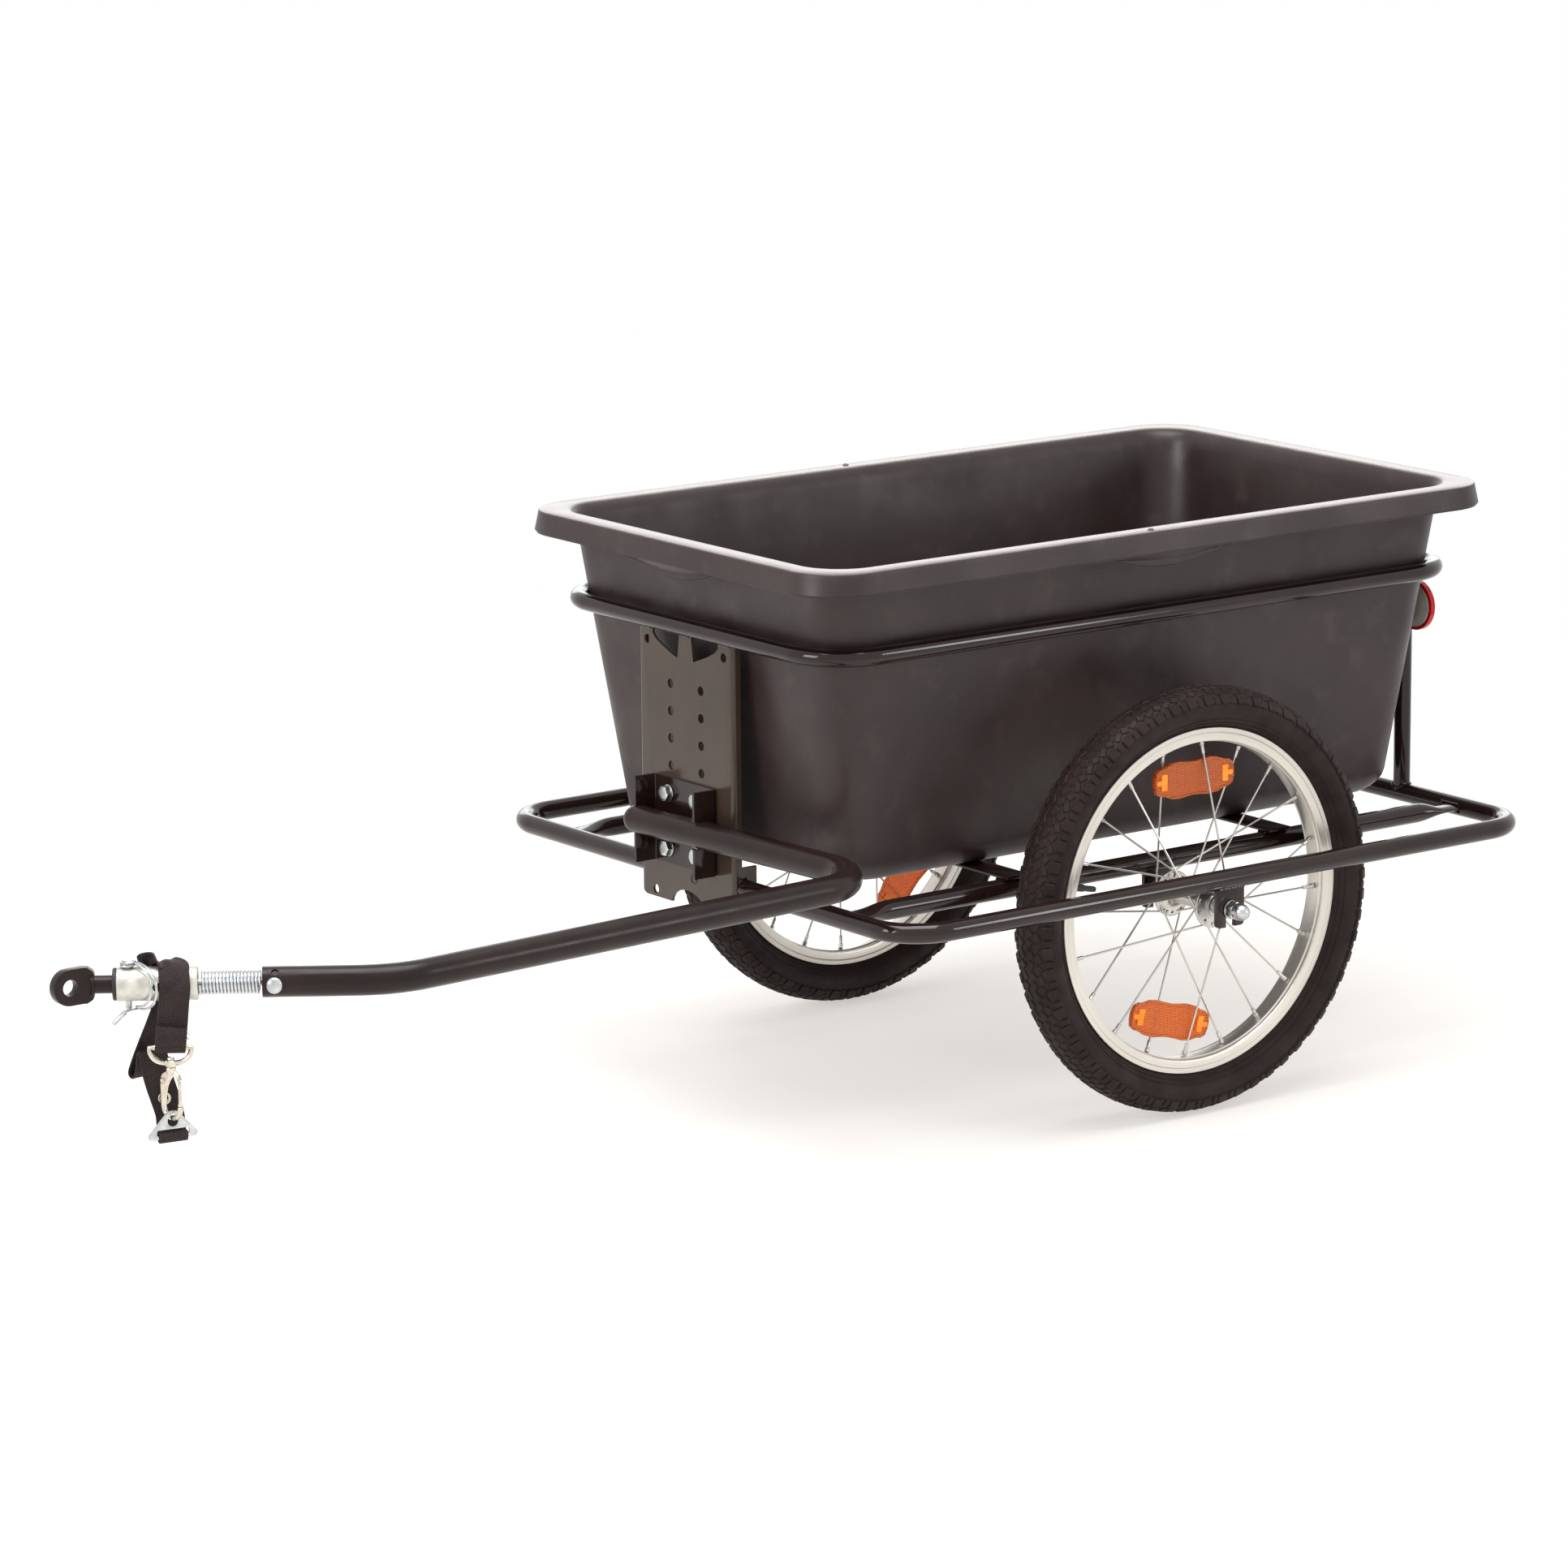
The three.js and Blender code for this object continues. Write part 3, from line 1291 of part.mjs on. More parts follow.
// The valve stands on the inner tube and comes through the rim towards the hub.
function valveGeometry() {
  const from = at(rimRadius, 0, 0);
  const to = at(nippleSeat - valveLength, 0, 0);
  return between(from, to, (length) => [
    [0, 0],
    [valveRadius, 0],
    [valveRadius, length - valveLength * 0.5],
    [valveRadius * 0.75, length],
    [0, length],
  ], smallSegments).rotateY(-radians(valveAngle));
}

function makeWheel(side, turn, roll) {
  const wheel = new THREE.Group();
  wheel.position.set(0, Math.cos(turn) * wheelPlane, tyreRadius);
  wheel.rotation.set(0, radians(roll), turn);
  trailer.add(wheel);
  place(`tyre_${side}`, turned(tyreProfile(), wheelSegments), tyreRubber, wheel);
  const valve = valveGeometry();
  place(`inner_tube_${side}`, join(turned(tubeProfile(), wheelSegments / 2), valve), tyreRubber, wheel);
  const valveHole = between(at(rimRadius, 0, 0), at(nippleStart, 0, 0), (length) => [
    [0, 0],
    [clear(valveRadius, smallSegments), 0],
    [clear(valveRadius, smallSegments), length],
    [0, length],
  ], smallSegments).rotateY(-radians(valveAngle));
  place(`rim_${side}`, cut(turned(rimProfile(), wheelSegments), valveHole), polishedAlloy, wheel);
  const ends = spokeEnds();
  const spokes = ends.map((pair) => spokeGeometry(pair));
  place(`hub_with_spokes_${side}`, join(turned(hubProfile()), ...spokes), polishedAlloy, wheel);
  const grooves = ends.map((pair) => spokeGeometry(pair, runningGap));
  spokeReflectorAngles.forEach((angle, k) => {
    const lens = cut(spokeReflectorGeometry(angle), ...grooves);
    place(`spoke_reflector_${k + 1}_${side}`, lens, amberLens, wheel);
  });
}

// Axles and their fork plates

const forkInner = (loopHalfWidth - railOffset) / 2 + forkShift - forkThickness / 2;
const forkOuter = forkInner + forkThickness;

function forkOutline() {
  const foot = -forkBelowAxle;
  const top = loopHeight - tyreRadius;
  const outline = new THREE.Shape();
  outline.moveTo(-forkHalfWidth, top);
  outline.lineTo(-forkHalfWidth, foot + forkFootRadius);
  outline.quadraticCurveTo(-forkHalfWidth, foot, forkFootRadius - forkHalfWidth, foot);
  outline.lineTo(-forkSlotRadius, foot);
  outline.lineTo(-forkSlotRadius, 0);
  outline.absarc(0, 0, forkSlotRadius, Math.PI, 0, true);
  outline.lineTo(forkSlotRadius, foot);
  outline.lineTo(forkHalfWidth - forkFootRadius, foot);
  outline.quadraticCurveTo(forkHalfWidth, foot, forkHalfWidth, foot + forkFootRadius);
  outline.lineTo(forkHalfWidth, top);
  return outline;
}

function makeAxle(side, turn) {
  const axle = new THREE.Group();
  axle.position.set(0, Math.cos(turn) * wheelPlane, tyreRadius);
  axle.rotation.z = turn;
  trailer.add(axle);
  const railHalf = (loopHalfWidth - railOffset) / 2;
  for (const [name, sign] of [['outer', 1], ['inner', -1]]) {
    const plate = sheetFacingSideways(forkOutline(), forkThickness, sign * (forkInner + forkThickness / 2));
    const tube = rodAlongX(frameTubeRadius + seatGap, -2 * forkHalfWidth, 2 * forkHalfWidth, turnedSegments);
    tube.translate(0, sign * railHalf, loopHeight - tyreRadius);
    place(`fork_plate_${name}_${side}`, cut(plate, tube), paintedSteel, axle);
  }
  const washer = forkOuter + seatGap;
  const nut = washer + washerThickness;
  const nutEnd = nut + axleNutHeight;
  const domeEnd = nutEnd + domeNutHeight;
  const bore = clear(axleRadius, smallSegments);
  const capInside = domeEnd - domeNutWall;
  const cone = hubHalfLength + runningGap;
  const coneFoot = forkInner - seatGap;
  const rodAndCones = turned([
    [0, -nutEnd - boltTail],
    [axleRadius, -nutEnd - boltTail],
    [axleRadius, -coneFoot],
    [coneRadius, -coneFoot],
    [coneRadius, -cone],
    [axleRadius, -cone],
    [axleRadius, cone],
    [coneRadius, cone],
    [coneRadius, coneFoot],
    [axleRadius, coneFoot],
    [axleRadius, capInside - seatGap],
    [0, capInside - seatGap],
  ], smallSegments);
  place(`axle_${side}`, rodAndCones, zincSteel, axle);
  const outerNut = join(
    rod(axleNutRadius, washer, nut, turnedSegments),
    rod(axleNutRadius, washer + washerThickness / 2, nutEnd, 6),
    turned([
      [0, nut],
      [domeNutRadius, nut],
      [domeNutRadius, nutEnd + domeNutHeight * 0.4],
      [domeNutRadius * 0.7, nutEnd + domeNutHeight * 0.85],
      [0, domeEnd],
    ], smallSegments),
  );
  const innerNut = join(
    rod(axleNutRadius, -nut, -washer, turnedSegments),
    rod(axleNutRadius, -nutEnd, -washer - washerThickness / 2, 6),
  );
  const hole = rod(bore, -nutEnd - cutOverrun, capInside);
  place(`axle_nut_outer_${side}`, cut(outerNut, hole), zincSteel, axle);
  place(`axle_nut_inner_${side}`, cut(innerNut, hole), zincSteel, axle);
}

// Rear reflectors

function makeRearReflector(name, sign) {
  const back = ringRear - ringTubeRadius - seatGap;
  const face = back - rearReflectorBack;
  const nut = ringRear + ringTubeRadius + seatGap;
  const lensBack = face - seatGap;
  const lens = turnedAlongX([
    [0, lensBack],
    [clear(rearReflectorBackRadius, lensSegments), lensBack],
    [clear(rearReflectorBackRadius, lensSegments), lensBack + rearReflectorLip],
    [rearReflectorRadius, lensBack + rearReflectorLip],
    [rearReflectorRadius, lensBack - rearReflectorLens * 0.6],
    [rearReflectorRadius * 0.85, lensBack - rearReflectorLens],
    [0, lensBack - rearReflectorLens],
  ], lensSegments);
  const housing = turnedAlongX([
    [0, face],
    [rearReflectorBackRadius, face],
    [rearReflectorBackRadius, face + rearReflectorBack * 0.6],
    [rearReflectorBackRadius * 0.6, back],
    [rearReflectorStudRadius, back],
    [rearReflectorStudRadius, nut],
    [rearReflectorNutRadius, nut],
    [rearReflectorNutRadius, nut + rearReflectorNutHeight],
    [0, nut + rearReflectorNutHeight],
  ], turnedSegments);
  const y = sign * strutOffset;
  place(`rear_reflector_${name}`, lens.translate(0, y, rearReflectorHeight), redLens);
  place(`rear_reflector_back_${name}`, housing.translate(0, y, rearReflectorHeight), greyPlastic);
}

makeFrameLoops();
makeRails();
makeStruts();
makeFrontPlate();
makeBracket();
makeBracketBolts();
makeDrawbar();
makeCrossBolt();
makeSpring();
makeSpringCore();
makeSleeve();
makeEye();
makePin();
makeBow();
makeStrap();
makeStrapRing();
makeHook();
makeLink();
makeTubWithGrips();
makeWheel('left', 0, 0);
makeWheel('right', Math.PI, rightWheelRoll);
makeAxle('left', 0);
makeAxle('right', Math.PI);
makeRearReflector('left', 1);
makeRearReflector('right', -1);

// The origin is on the ground, under the middle of the whole trailer.
trailer.updateMatrixWorld(true);
const extent = new THREE.Box3().setFromObject(trailer, true);
const middle = extent.getCenter(new THREE.Vector3());
trailer.position.set(-middle.x, -middle.y, -extent.min.z);
trailer.updateMatrixWorld(true);

export default trailer;
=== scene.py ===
"""A two-wheeled cargo bike trailer, built over its frame piece by piece in Blender.

Sizes are given in millimetres and turned into metres as the meshes are made. X points forward
to the drawbar, Y to the trailer's left and Z up, and the trailer stands on z = 0.
"""
import json
import math
import random

import bpy
from mathutils import Matrix, Vector

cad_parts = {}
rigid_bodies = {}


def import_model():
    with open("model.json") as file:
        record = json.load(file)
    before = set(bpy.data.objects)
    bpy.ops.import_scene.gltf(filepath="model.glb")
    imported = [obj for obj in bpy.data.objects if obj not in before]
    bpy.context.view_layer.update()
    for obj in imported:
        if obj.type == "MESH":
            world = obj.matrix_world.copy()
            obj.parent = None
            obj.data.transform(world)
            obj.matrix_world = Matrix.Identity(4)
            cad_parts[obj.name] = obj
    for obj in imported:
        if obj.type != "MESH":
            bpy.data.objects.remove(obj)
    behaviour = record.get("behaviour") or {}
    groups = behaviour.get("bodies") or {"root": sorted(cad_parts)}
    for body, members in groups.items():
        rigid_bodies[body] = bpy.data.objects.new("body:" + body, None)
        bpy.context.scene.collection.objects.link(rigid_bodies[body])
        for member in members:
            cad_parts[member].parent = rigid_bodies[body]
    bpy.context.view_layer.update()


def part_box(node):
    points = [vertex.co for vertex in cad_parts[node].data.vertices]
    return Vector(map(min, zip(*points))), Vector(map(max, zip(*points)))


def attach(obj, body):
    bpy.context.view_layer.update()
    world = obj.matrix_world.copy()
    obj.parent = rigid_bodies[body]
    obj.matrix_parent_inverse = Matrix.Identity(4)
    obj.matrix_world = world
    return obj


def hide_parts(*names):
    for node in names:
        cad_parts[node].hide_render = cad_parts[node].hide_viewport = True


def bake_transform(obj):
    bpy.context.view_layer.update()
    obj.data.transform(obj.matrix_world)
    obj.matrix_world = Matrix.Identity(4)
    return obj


bpy.ops.object.select_all(action="SELECT")
bpy.ops.object.delete()
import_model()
random.seed(16)

# ---------------------------------------------------------------------------------------------
# Tub: one deep box of black polyethylene, blow moulded with a folded rim that stiffens its
# mouth, and a crescent finger grip that hangs behind the rim's skirt on each side. It isn't
# fixed: it drops into the upper ring and rests on the two cross strips.
# ---------------------------------------------------------------------------------------------
MM = 0.001
SOFT_ANGLE = 35


def at(x, y, z):
    return Vector((x, y, z)) * MM


def alone(obj):
    """Only this object is selected, and it is the active one."""
    bpy.ops.object.select_all(action="DESELECT")
    obj.select_set(True)
    bpy.context.view_layer.objects.active = obj


SLIVER = 0.002 * MM


def cleaned(obj):
    """Doubles merged, loose bits dropped and faces turned outward."""
    alone(obj)
    bpy.ops.object.mode_set(mode="EDIT")
    bpy.ops.mesh.select_all(action="SELECT")
    bpy.ops.mesh.remove_doubles(threshold=SLIVER)
    bpy.ops.mesh.dissolve_degenerate(threshold=SLIVER)
    bpy.ops.mesh.select_all(action="SELECT")
    bpy.ops.mesh.normals_make_consistent(inside=False)
    bpy.ops.mesh.delete_loose()
    bpy.ops.object.mode_set(mode="OBJECT")
    return obj


def woven(name, rows):
    """A grid primitive laid over rings of points, in millimetres, each ring's ends joined."""
    rows = [list(row) + [row[0]] for row in rows]
    wide = len(rows[0])
    bpy.ops.object.select_all(action="DESELECT")
    bpy.ops.mesh.primitive_grid_add(x_subdivisions=wide - 1, y_subdivisions=len(rows) - 1)
    obj = bpy.context.active_object
    obj.name = name
    for k, vertex in enumerate(obj.data.vertices):
        vertex.co = at(*rows[k // wide][k % wide])
    return cleaned(obj)


def joined(name, *objs):
    """These objects as one, under the first one's data."""
    alone(objs[0])
    for obj in objs[1:]:
        obj.select_set(True)
    if len(objs) > 1:
        bpy.ops.object.join()
    objs[0].name = name
    return objs[0]


def moved(obj, matrix):
    """The mesh carried by a matrix whose lengths are metres."""
    obj.data.transform(matrix)
    return obj


def copied(obj, name, matrix):
    """A copy with its own mesh, carried by a matrix."""
    other = obj.copy()
    other.data = obj.data.copy()
    other.name = name
    bpy.context.collection.objects.link(other)
    return moved(other, matrix)


def modified(obj, kind, **settings):
    """A modifier with these settings, applied at once."""
    alone(obj)
    bpy.ops.object.modifier_add(type=kind)
    modifier = obj.modifiers[-1]
    for key, value in settings.items():
        setattr(modifier, key, value)
    bpy.ops.object.modifier_apply(modifier=modifier.name)
    return obj


def bevelled(obj, width, segments=2, angle=40):
    return modified(obj, "BEVEL", width=width * MM, segments=segments, limit_method="ANGLE",
                    angle_limit=math.radians(angle), use_clamp_overlap=True)


def carved(obj, *cutters):
    """obj with the cutters' solids taken away."""
    tool = joined("cutter", *cutters)
    modified(obj, "BOOLEAN", operation="DIFFERENCE", solver="EXACT", object=tool,
             use_self=True)
    bpy.data.objects.remove(tool)
    return obj


def linear(code):
    """An sRGB hex value as linear colour."""
    parts = [int(code[k:k + 2], 16) / 255 for k in (1, 3, 5)]
    return [p / 12.92 if p <= 0.04045 else ((p + 0.055) / 1.055) ** 2.4 for p in parts] + [1.0]


def add_node(tree, kind, links=(), **values):
    """A node with these settings and input values, and links of (input, output socket)."""
    node = tree.nodes.new("ShaderNode" + kind)
    for key, value in values.items():
        key = key.replace("_", " ")
        if key in node.inputs:
            node.inputs[key].default_value = value
        else:
            setattr(node, key.replace(" ", "_").lower(), value)
    for key, socket in links:
        tree.links.new(socket, node.inputs[key])
    return node


def grain(tree, size, detail=3.0):
    """Noise whose features are about size millimetres across."""
    source = add_node(tree, "TexCoord")
    scaled = add_node(tree, "Mapping", [("Vector", source.outputs["Object"])],
                      Scale=[1000 / size] * 3)
    return add_node(tree, "TexNoise", [("Vector", scaled.outputs["Vector"])],
                    Scale=1.0, Detail=detail).outputs["Fac"]


def surface(name, colours, rough, metal=0.0, size=30, fine=1.5, bump=0.02, coat=0.0,
            shine=0.5):
    """A plain finish: two tones mottled over size mm, a roughness that wanders between two
    values, and a fine bump of the given depth in mm."""
    material = bpy.data.materials.new(name)
    material.use_nodes = True
    tree = material.node_tree
    shader = tree.nodes["Principled BSDF"]
    shader.inputs["Metallic"].default_value = metal
    shader.inputs["Specular IOR Level"].default_value = shine
    shader.inputs["Coat Weight"].default_value = coat
    shader.inputs["Coat Roughness"].default_value = 0.08
    blotches = add_node(tree, "MapRange", [("Value", grain(tree, size))], From_Min=0.35,
                        From_Max=0.65)
    tone = add_node(tree, "Mix", [("Factor", blotches.outputs["Result"])], data_type="RGBA",
                    A=linear(colours[0]), B=linear(colours[1]))
    tree.links.new(tone.outputs["Result"], shader.inputs["Base Color"])
    sheen = add_node(tree, "MapRange", [("Value", grain(tree, size * 0.6))], From_Min=0.35,
                     From_Max=0.65, To_Min=rough[0], To_Max=rough[1])
    tree.links.new(sheen.outputs["Result"], shader.inputs["Roughness"])
    if bump:
        raised = add_node(tree, "Bump", [("Height", grain(tree, fine))], Strength=1.0,
                          Distance=bump * MM)
        tree.links.new(raised.outputs["Normal"], shader.inputs["Normal"])
    return material


def settle(obj, body, slot, material, *nodes, angle=SOFT_ANGLE):
    """The piece shaded, painted, put on its body and standing for its nodes. Its slot is not used.
    """
    alone(obj)
    obj.name = obj.name.split(".")[0] + "_look"
    bpy.ops.object.shade_smooth_by_angle(angle=math.radians(angle))
    obj.data.materials.clear()
    obj.data.materials.append(material)
    if body:
        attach(obj, body)
    if nodes:
        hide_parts(*nodes)
    return obj


TUB_MIDDLE = -367.49
TUB_FLOOR = (328, 172)
TUB_BOTTOM = 235.6
TUB_TOP = 531.4
TUB_DRAFT = 0.124
TUB_WALL = 3
TUB_OUTER_ROUND, TUB_INNER_ROUND = 22, 19
TUB_CORNER = 40
TUB_SIDE_STEPS = (66, 36, 66, 36)
NEARLY = 1e-6
GRIP_HALF, GRIP_DROP = 68, 12.5
# The folded rim from the outer wall up, out, down the skirt, under it, up again and over the
# lip: how far each row stands out from the floor's outline, its height, the radius of its
# corners and, at the finger grips, how far it hangs down and stands back.
RIM = [(37.6, 526.5, 41), (40.5, 528.4, 42), (58, 528.4, 46), (60.2, 526, 47), (62, 512, 47.5),
       (62.2, 510.4, 47.5), (59.6, 510.5, 46, GRIP_DROP - 1, 4), (60.2, 510.4, 46, GRIP_DROP, 4),
       (61.4, 510.4, 47.5, GRIP_DROP, 3.2), (62.3, 510.4, 47.5, GRIP_DROP - 0.7, 3),
       (62.6, 510.4, 47.5, GRIP_DROP - 1.9, 3.2), (62.6, 511.4, 47.5, 0, 5.2),
       (63, 511.6, 47.5), (63.9, 510.4, 49.5), (64.1, 512, 49.5), (65.2, 512.5, 50),
       (64.2, 519, 50), (62.9, 527.6, 50), (62.5, 529.8, 49.5), (61.6, 531, 48.5),
       (60.2, 531.4, 48), (42.4, 531.4, 43.5), (39.8, 530.9, 43), (37.2, 529, 42),
       (34.8, 525.4, 41), (33.2, 520.5, 40)]


def arc_points(x, y, radius, first, last, steps):
    """The steps + 1 points of an arc about (x, y), its angles in degrees."""
    angles = [math.radians(first + (last - first) * k / steps) for k in range(steps + 1)]
    return [(x + radius * math.cos(a), y + radius * math.sin(a)) for a in angles]


def tub_row(grow, z, corner, drop=0.0, inset=0.0):
    """One level ring of the tub, its walls' half sizes grown. At the four grips it hangs down in
    a crescent by drop, and stands back by inset."""
    half_x, half_y = TUB_FLOOR[0] + grow, TUB_FLOOR[1] + grow
    arcs = [arc_points(sx * (half_x - corner), sy * (half_y - corner), corner, start,
                       start + 90, 12)
            for sx, sy, start in ((1, 1, 0), (-1, 1, 90), (-1, -1, 180), (1, -1, 270))]
    ring = []
    for arc, after, steps in zip(arcs, arcs[1:] + arcs[:1], TUB_SIDE_STEPS):
        (x, y), (next_x, next_y) = arc[-1], after[0]
        ring += arc
        ring += [(x + (next_x - x) * share, y + (next_y - y) * share)
                 for share in [k / steps for k in range(1, steps)]]
    row = []
    for x, y in ring:
        on_end, on_side = abs(x) > half_x - NEARLY, abs(y) > half_y - NEARLY
        from_middle = y if on_end else x if on_side else math.inf
        crescent = max(0.0, 1 - (from_middle / GRIP_HALF) ** 2)
        back = inset * min(1.0, 4 * crescent)
        if on_end:
            x -= math.copysign(back, x)
        elif on_side:
            y -= math.copysign(back, y)
        row.append((TUB_MIDDLE + x, y, z - drop * crescent))
    return row


def make_tub():
    def wall(z):
        return TUB_DRAFT * (z - TUB_BOTTOM)

    inner_bottom = TUB_BOTTOM + TUB_WALL
    quarter = [math.radians(15 * k) for k in range(7)]
    rows = [tub_row(-60, TUB_BOTTOM, 30)]
    for angle in quarter:
        z = TUB_BOTTOM + TUB_OUTER_ROUND * (1 - math.cos(angle))
        rows.append(tub_row(wall(z) + TUB_OUTER_ROUND * (math.sin(angle) - 1), z, TUB_CORNER))
    rows += [tub_row(wall(z), z, TUB_CORNER) for z in (300, 380, 460, 515, 522)]
    rows += [tub_row(*spot) for spot in RIM]
    rows += [tub_row(wall(z) - TUB_WALL, z, TUB_CORNER - 2) for z in (515, 460, 380, 300)]
    for angle in quarter:
        z = inner_bottom + TUB_INNER_ROUND * (1 - math.sin(angle))
        rows.append(tub_row(wall(z) - TUB_WALL + TUB_INNER_ROUND * (math.cos(angle) - 1), z,
                            TUB_CORNER - 3))
    rows.append(tub_row(-60, inner_bottom, 30))
    tips = [[(TUB_MIDDLE, 0, z)] * len(rows[0]) for z in (TUB_BOTTOM, inner_bottom)]
    return woven("tub", [tips[0], *rows, tips[1]])


# Black polyethylene: soft brown-black with a wandering dull sheen, faint pale scuffs and a fine
# grain, so that the walls look soft. The lip is made smoother so that it glares where it is seen
# at a low angle, and its top is painted paler in a mottle: a painted reflection.
def tub_plastic():
    material = surface("tub_polyethylene", ("#241718", "#2d2020"), (0.36, 0.52), size=110,
                       fine=1.6, bump=0.05, shine=0.45)
    tree = material.node_tree
    shader = tree.nodes["Principled BSDF"]
    base = shader.inputs["Base Color"].links[0].from_socket
    scuff = add_node(tree, "MapRange", [("Value", grain(tree, 26, detail=9))], From_Min=0.56,
                     From_Max=0.8, To_Max=0.24)
    scuffed = add_node(tree, "Mix", [("Factor", scuff.outputs["Result"]), ("A", base)],
                       data_type="RGBA", B=linear("#534947"))
    source = add_node(tree, "TexCoord")
    height = add_node(tree, "SeparateXYZ", [("Vector", source.outputs["Object"])])
    # The top of the lip is painted paler, mottled: a painted reflection of the low light behind the
    # tub.
    lip = add_node(tree, "MapRange", [("Value", height.outputs["Z"])],
                   From_Min=(TUB_TOP - 1.4) * MM, From_Max=(TUB_TOP - 0.3) * MM)
    lip_glint_mottle = add_node(tree, "MapRange", [("Value", grain(tree, 24, detail=6))], From_Min=0.35,
                    From_Max=0.65, To_Min=0.6, To_Max=0.95)
    painted_lip_reflection = add_node(tree, "Math", [(0, lip.outputs["Result"]), (1, lip_glint_mottle.outputs["Result"])],
                      operation="MULTIPLY")
    pale = add_node(tree, "Mix", [("Factor", painted_lip_reflection.outputs[0]), ("A", scuffed.outputs["Result"])],
                    data_type="RGBA", B=linear("#665c58"))
    tree.links.new(pale.outputs["Result"], shader.inputs["Base Color"])
    rough = shader.inputs["Roughness"].links[0].from_socket
    polished = add_node(tree, "Mix", [("Factor", lip.outputs["Result"]), ("A", rough)],
                        data_type="FLOAT", B=0.27)
    tree.links.new(polished.outputs["Result"], shader.inputs["Roughness"])
    return material


TUB_PLASTIC = tub_plastic()
tub = make_tub()
# Two moulding nubs stand on the lip, one on each long side.
NUB_X, NUB_Y, NUB_Z = TUB_MIDDLE + 20, 225.5, TUB_TOP - 0.6
nub = woven("nub", [[(x, y, z) for x, y in arc_points(0, 0, radius, 0, 330, 11)]
                    for radius, z in ((3, -1), (3, 1.2), (1.8, 2), (0.03, 2.2))])
nubs = [copied(nub, "nub_copy", Matrix.Translation(at(NUB_X, side * NUB_Y, NUB_Z)))
        for side in (-1, 1)]
bpy.data.objects.remove(nub)
settle(joined("tub", tub, *nubs), "tub", "tub_plastic", TUB_PLASTIC, "tub")

# ---------------------------------------------------------------------------------------------
# Frame: round steel tube, bent and welded, powder coated gloss black. The lower loop runs
# right round the wheels; two rails with pressed tips run inside them; two struts carry the
# upper ring that holds the tub; two flat strips under the tub tie the rails together.
# ---------------------------------------------------------------------------------------------
def corner(before, point, after, radius, steps):
    """The points of an arc of the given radius that rounds one corner of a path."""
    before, point, after = Vector(before), Vector(point), Vector(after)
    back, on = (before - point).normalized(), (after - point).normalized()
    angle = back.angle(on)
    reach = radius / math.tan(angle / 2)
    centre = point + (back + on).normalized() * (radius / math.sin(angle / 2))
    first, last = point + back * reach, point + on * reach
    axis = (first - centre).cross(last - centre).normalized()
    turn = (first - centre).angle(last - centre)
    return [centre + Matrix.Rotation(turn * k / steps, 3, axis) @ (first - centre)
            for k in range(steps + 1)]


def wire(name, points, radius, closed=False, fine=5, swell=()):
    """A round bar or tube along points in millimetres, drawn as a curve and made a mesh."""
    bpy.ops.object.select_all(action="DESELECT")
    bpy.ops.curve.primitive_nurbs_path_add()
    obj = bpy.context.active_object
    obj.name = name
    curve = obj.data
    curve.splines.clear()
    spline = curve.splines.new("POLY")
    spline.points.add(len(points) - 1)
    for k, point in enumerate(points):
        spline.points[k].co = (*at(*point), 1)
        spline.points[k].radius = swell[k % len(swell)] if swell else 1
    spline.use_cyclic_u = closed
    curve.dimensions = "3D"
    curve.bevel_depth = radius * MM
    curve.bevel_resolution = fine
    curve.use_fill_caps = not closed
    bpy.ops.object.convert(target="MESH")
    return cleaned(obj)


def box(name, low, high):
    """A cube primitive between two corners in millimetres."""
    bpy.ops.object.select_all(action="DESELECT")
    bpy.ops.mesh.primitive_cube_add(size=1)
    obj = bpy.context.active_object
    obj.name = name
    middle = (Vector(low) + Vector(high)) / 2
    size = Vector(high) - Vector(low)
    for vertex in obj.data.vertices:
        vertex.co = (middle + Vector([c * s for c, s in zip(vertex.co, size)])) * MM
    return obj


def rounded_loop(front, rear, half_width, z, radius):
    """The middle line of a level tube bent round four corners and back to its start."""
    corners = [(front, half_width), (rear, half_width), (rear, -half_width), (front, -half_width)]
    path = []
    for k, (x, y) in enumerate(corners):
        before, after = corners[k - 1], corners[(k + 1) % 4]
        path += corner((*before, z), (x, y, z), (*after, z), radius, 16)
    return path


def bead(name, points, radius, closed=True):
    """A weld's bead: a rippled bar of small radius along the seam."""
    dense = []
    spans = len(points) if closed else len(points) - 1
    for k in range(spans):
        first, last = Vector(points[k]), Vector(points[(k + 1) % len(points)])
        steps = max(1, round((last - first).length / 1.6))
        dense += [first.lerp(last, j / steps) for j in range(steps)]
    return wire(name, dense, radius, closed, fine=2, swell=(1.0, 1.15, 0.9, 1.1, 0.85))


def circle_points(centre, radius, axis, count=24):
    """Points right round an axis, in millimetres."""
    axis = Vector(axis).normalized()
    side = axis.orthogonal().normalized()
    return [Vector(centre) + Matrix.Rotation(math.radians(360 * k / count), 3, axis)
            @ side * radius for k in range(count)]


def paint_frame(obj, *nodes, **options):
    """The piece settled on the frame in its gloss powder coat."""
    return settle(obj, "frame", "frame_paint", GLOSS_BLACK, *nodes, **options)


FRAME_RADIUS = 9
LOOP_FRONT, LOOP_REAR, LOOP_HALF, LOOP_Z = -7.99, -734.99, 307, 223
RING_RADIUS, RING_FRONT, RING_HALF, RING_Z = 8, 0.01, 208, 450.6
RAIL_Y = 212
STRUT_Y = 134
RAIL_REAR, RAIL_FRONT = -725.7, -17.3
RAIL_TIP_HALF, RAIL_TIP_THICK = 13, 3.2
STRIP_LOW, STRIP_HIGH, STRIP_HALF, STRIP_REACH = 232.3, 235.3, 13, 221

# Gloss powder coat: almost black, a wet clear sheen with a very slight orange peel.
GLOSS_BLACK = surface("powder_coat", ("#1a0f0d", "#211412"), (0.09, 0.15), size=60, fine=4,
                      bump=0.012, coat=0.22, shine=0.3)

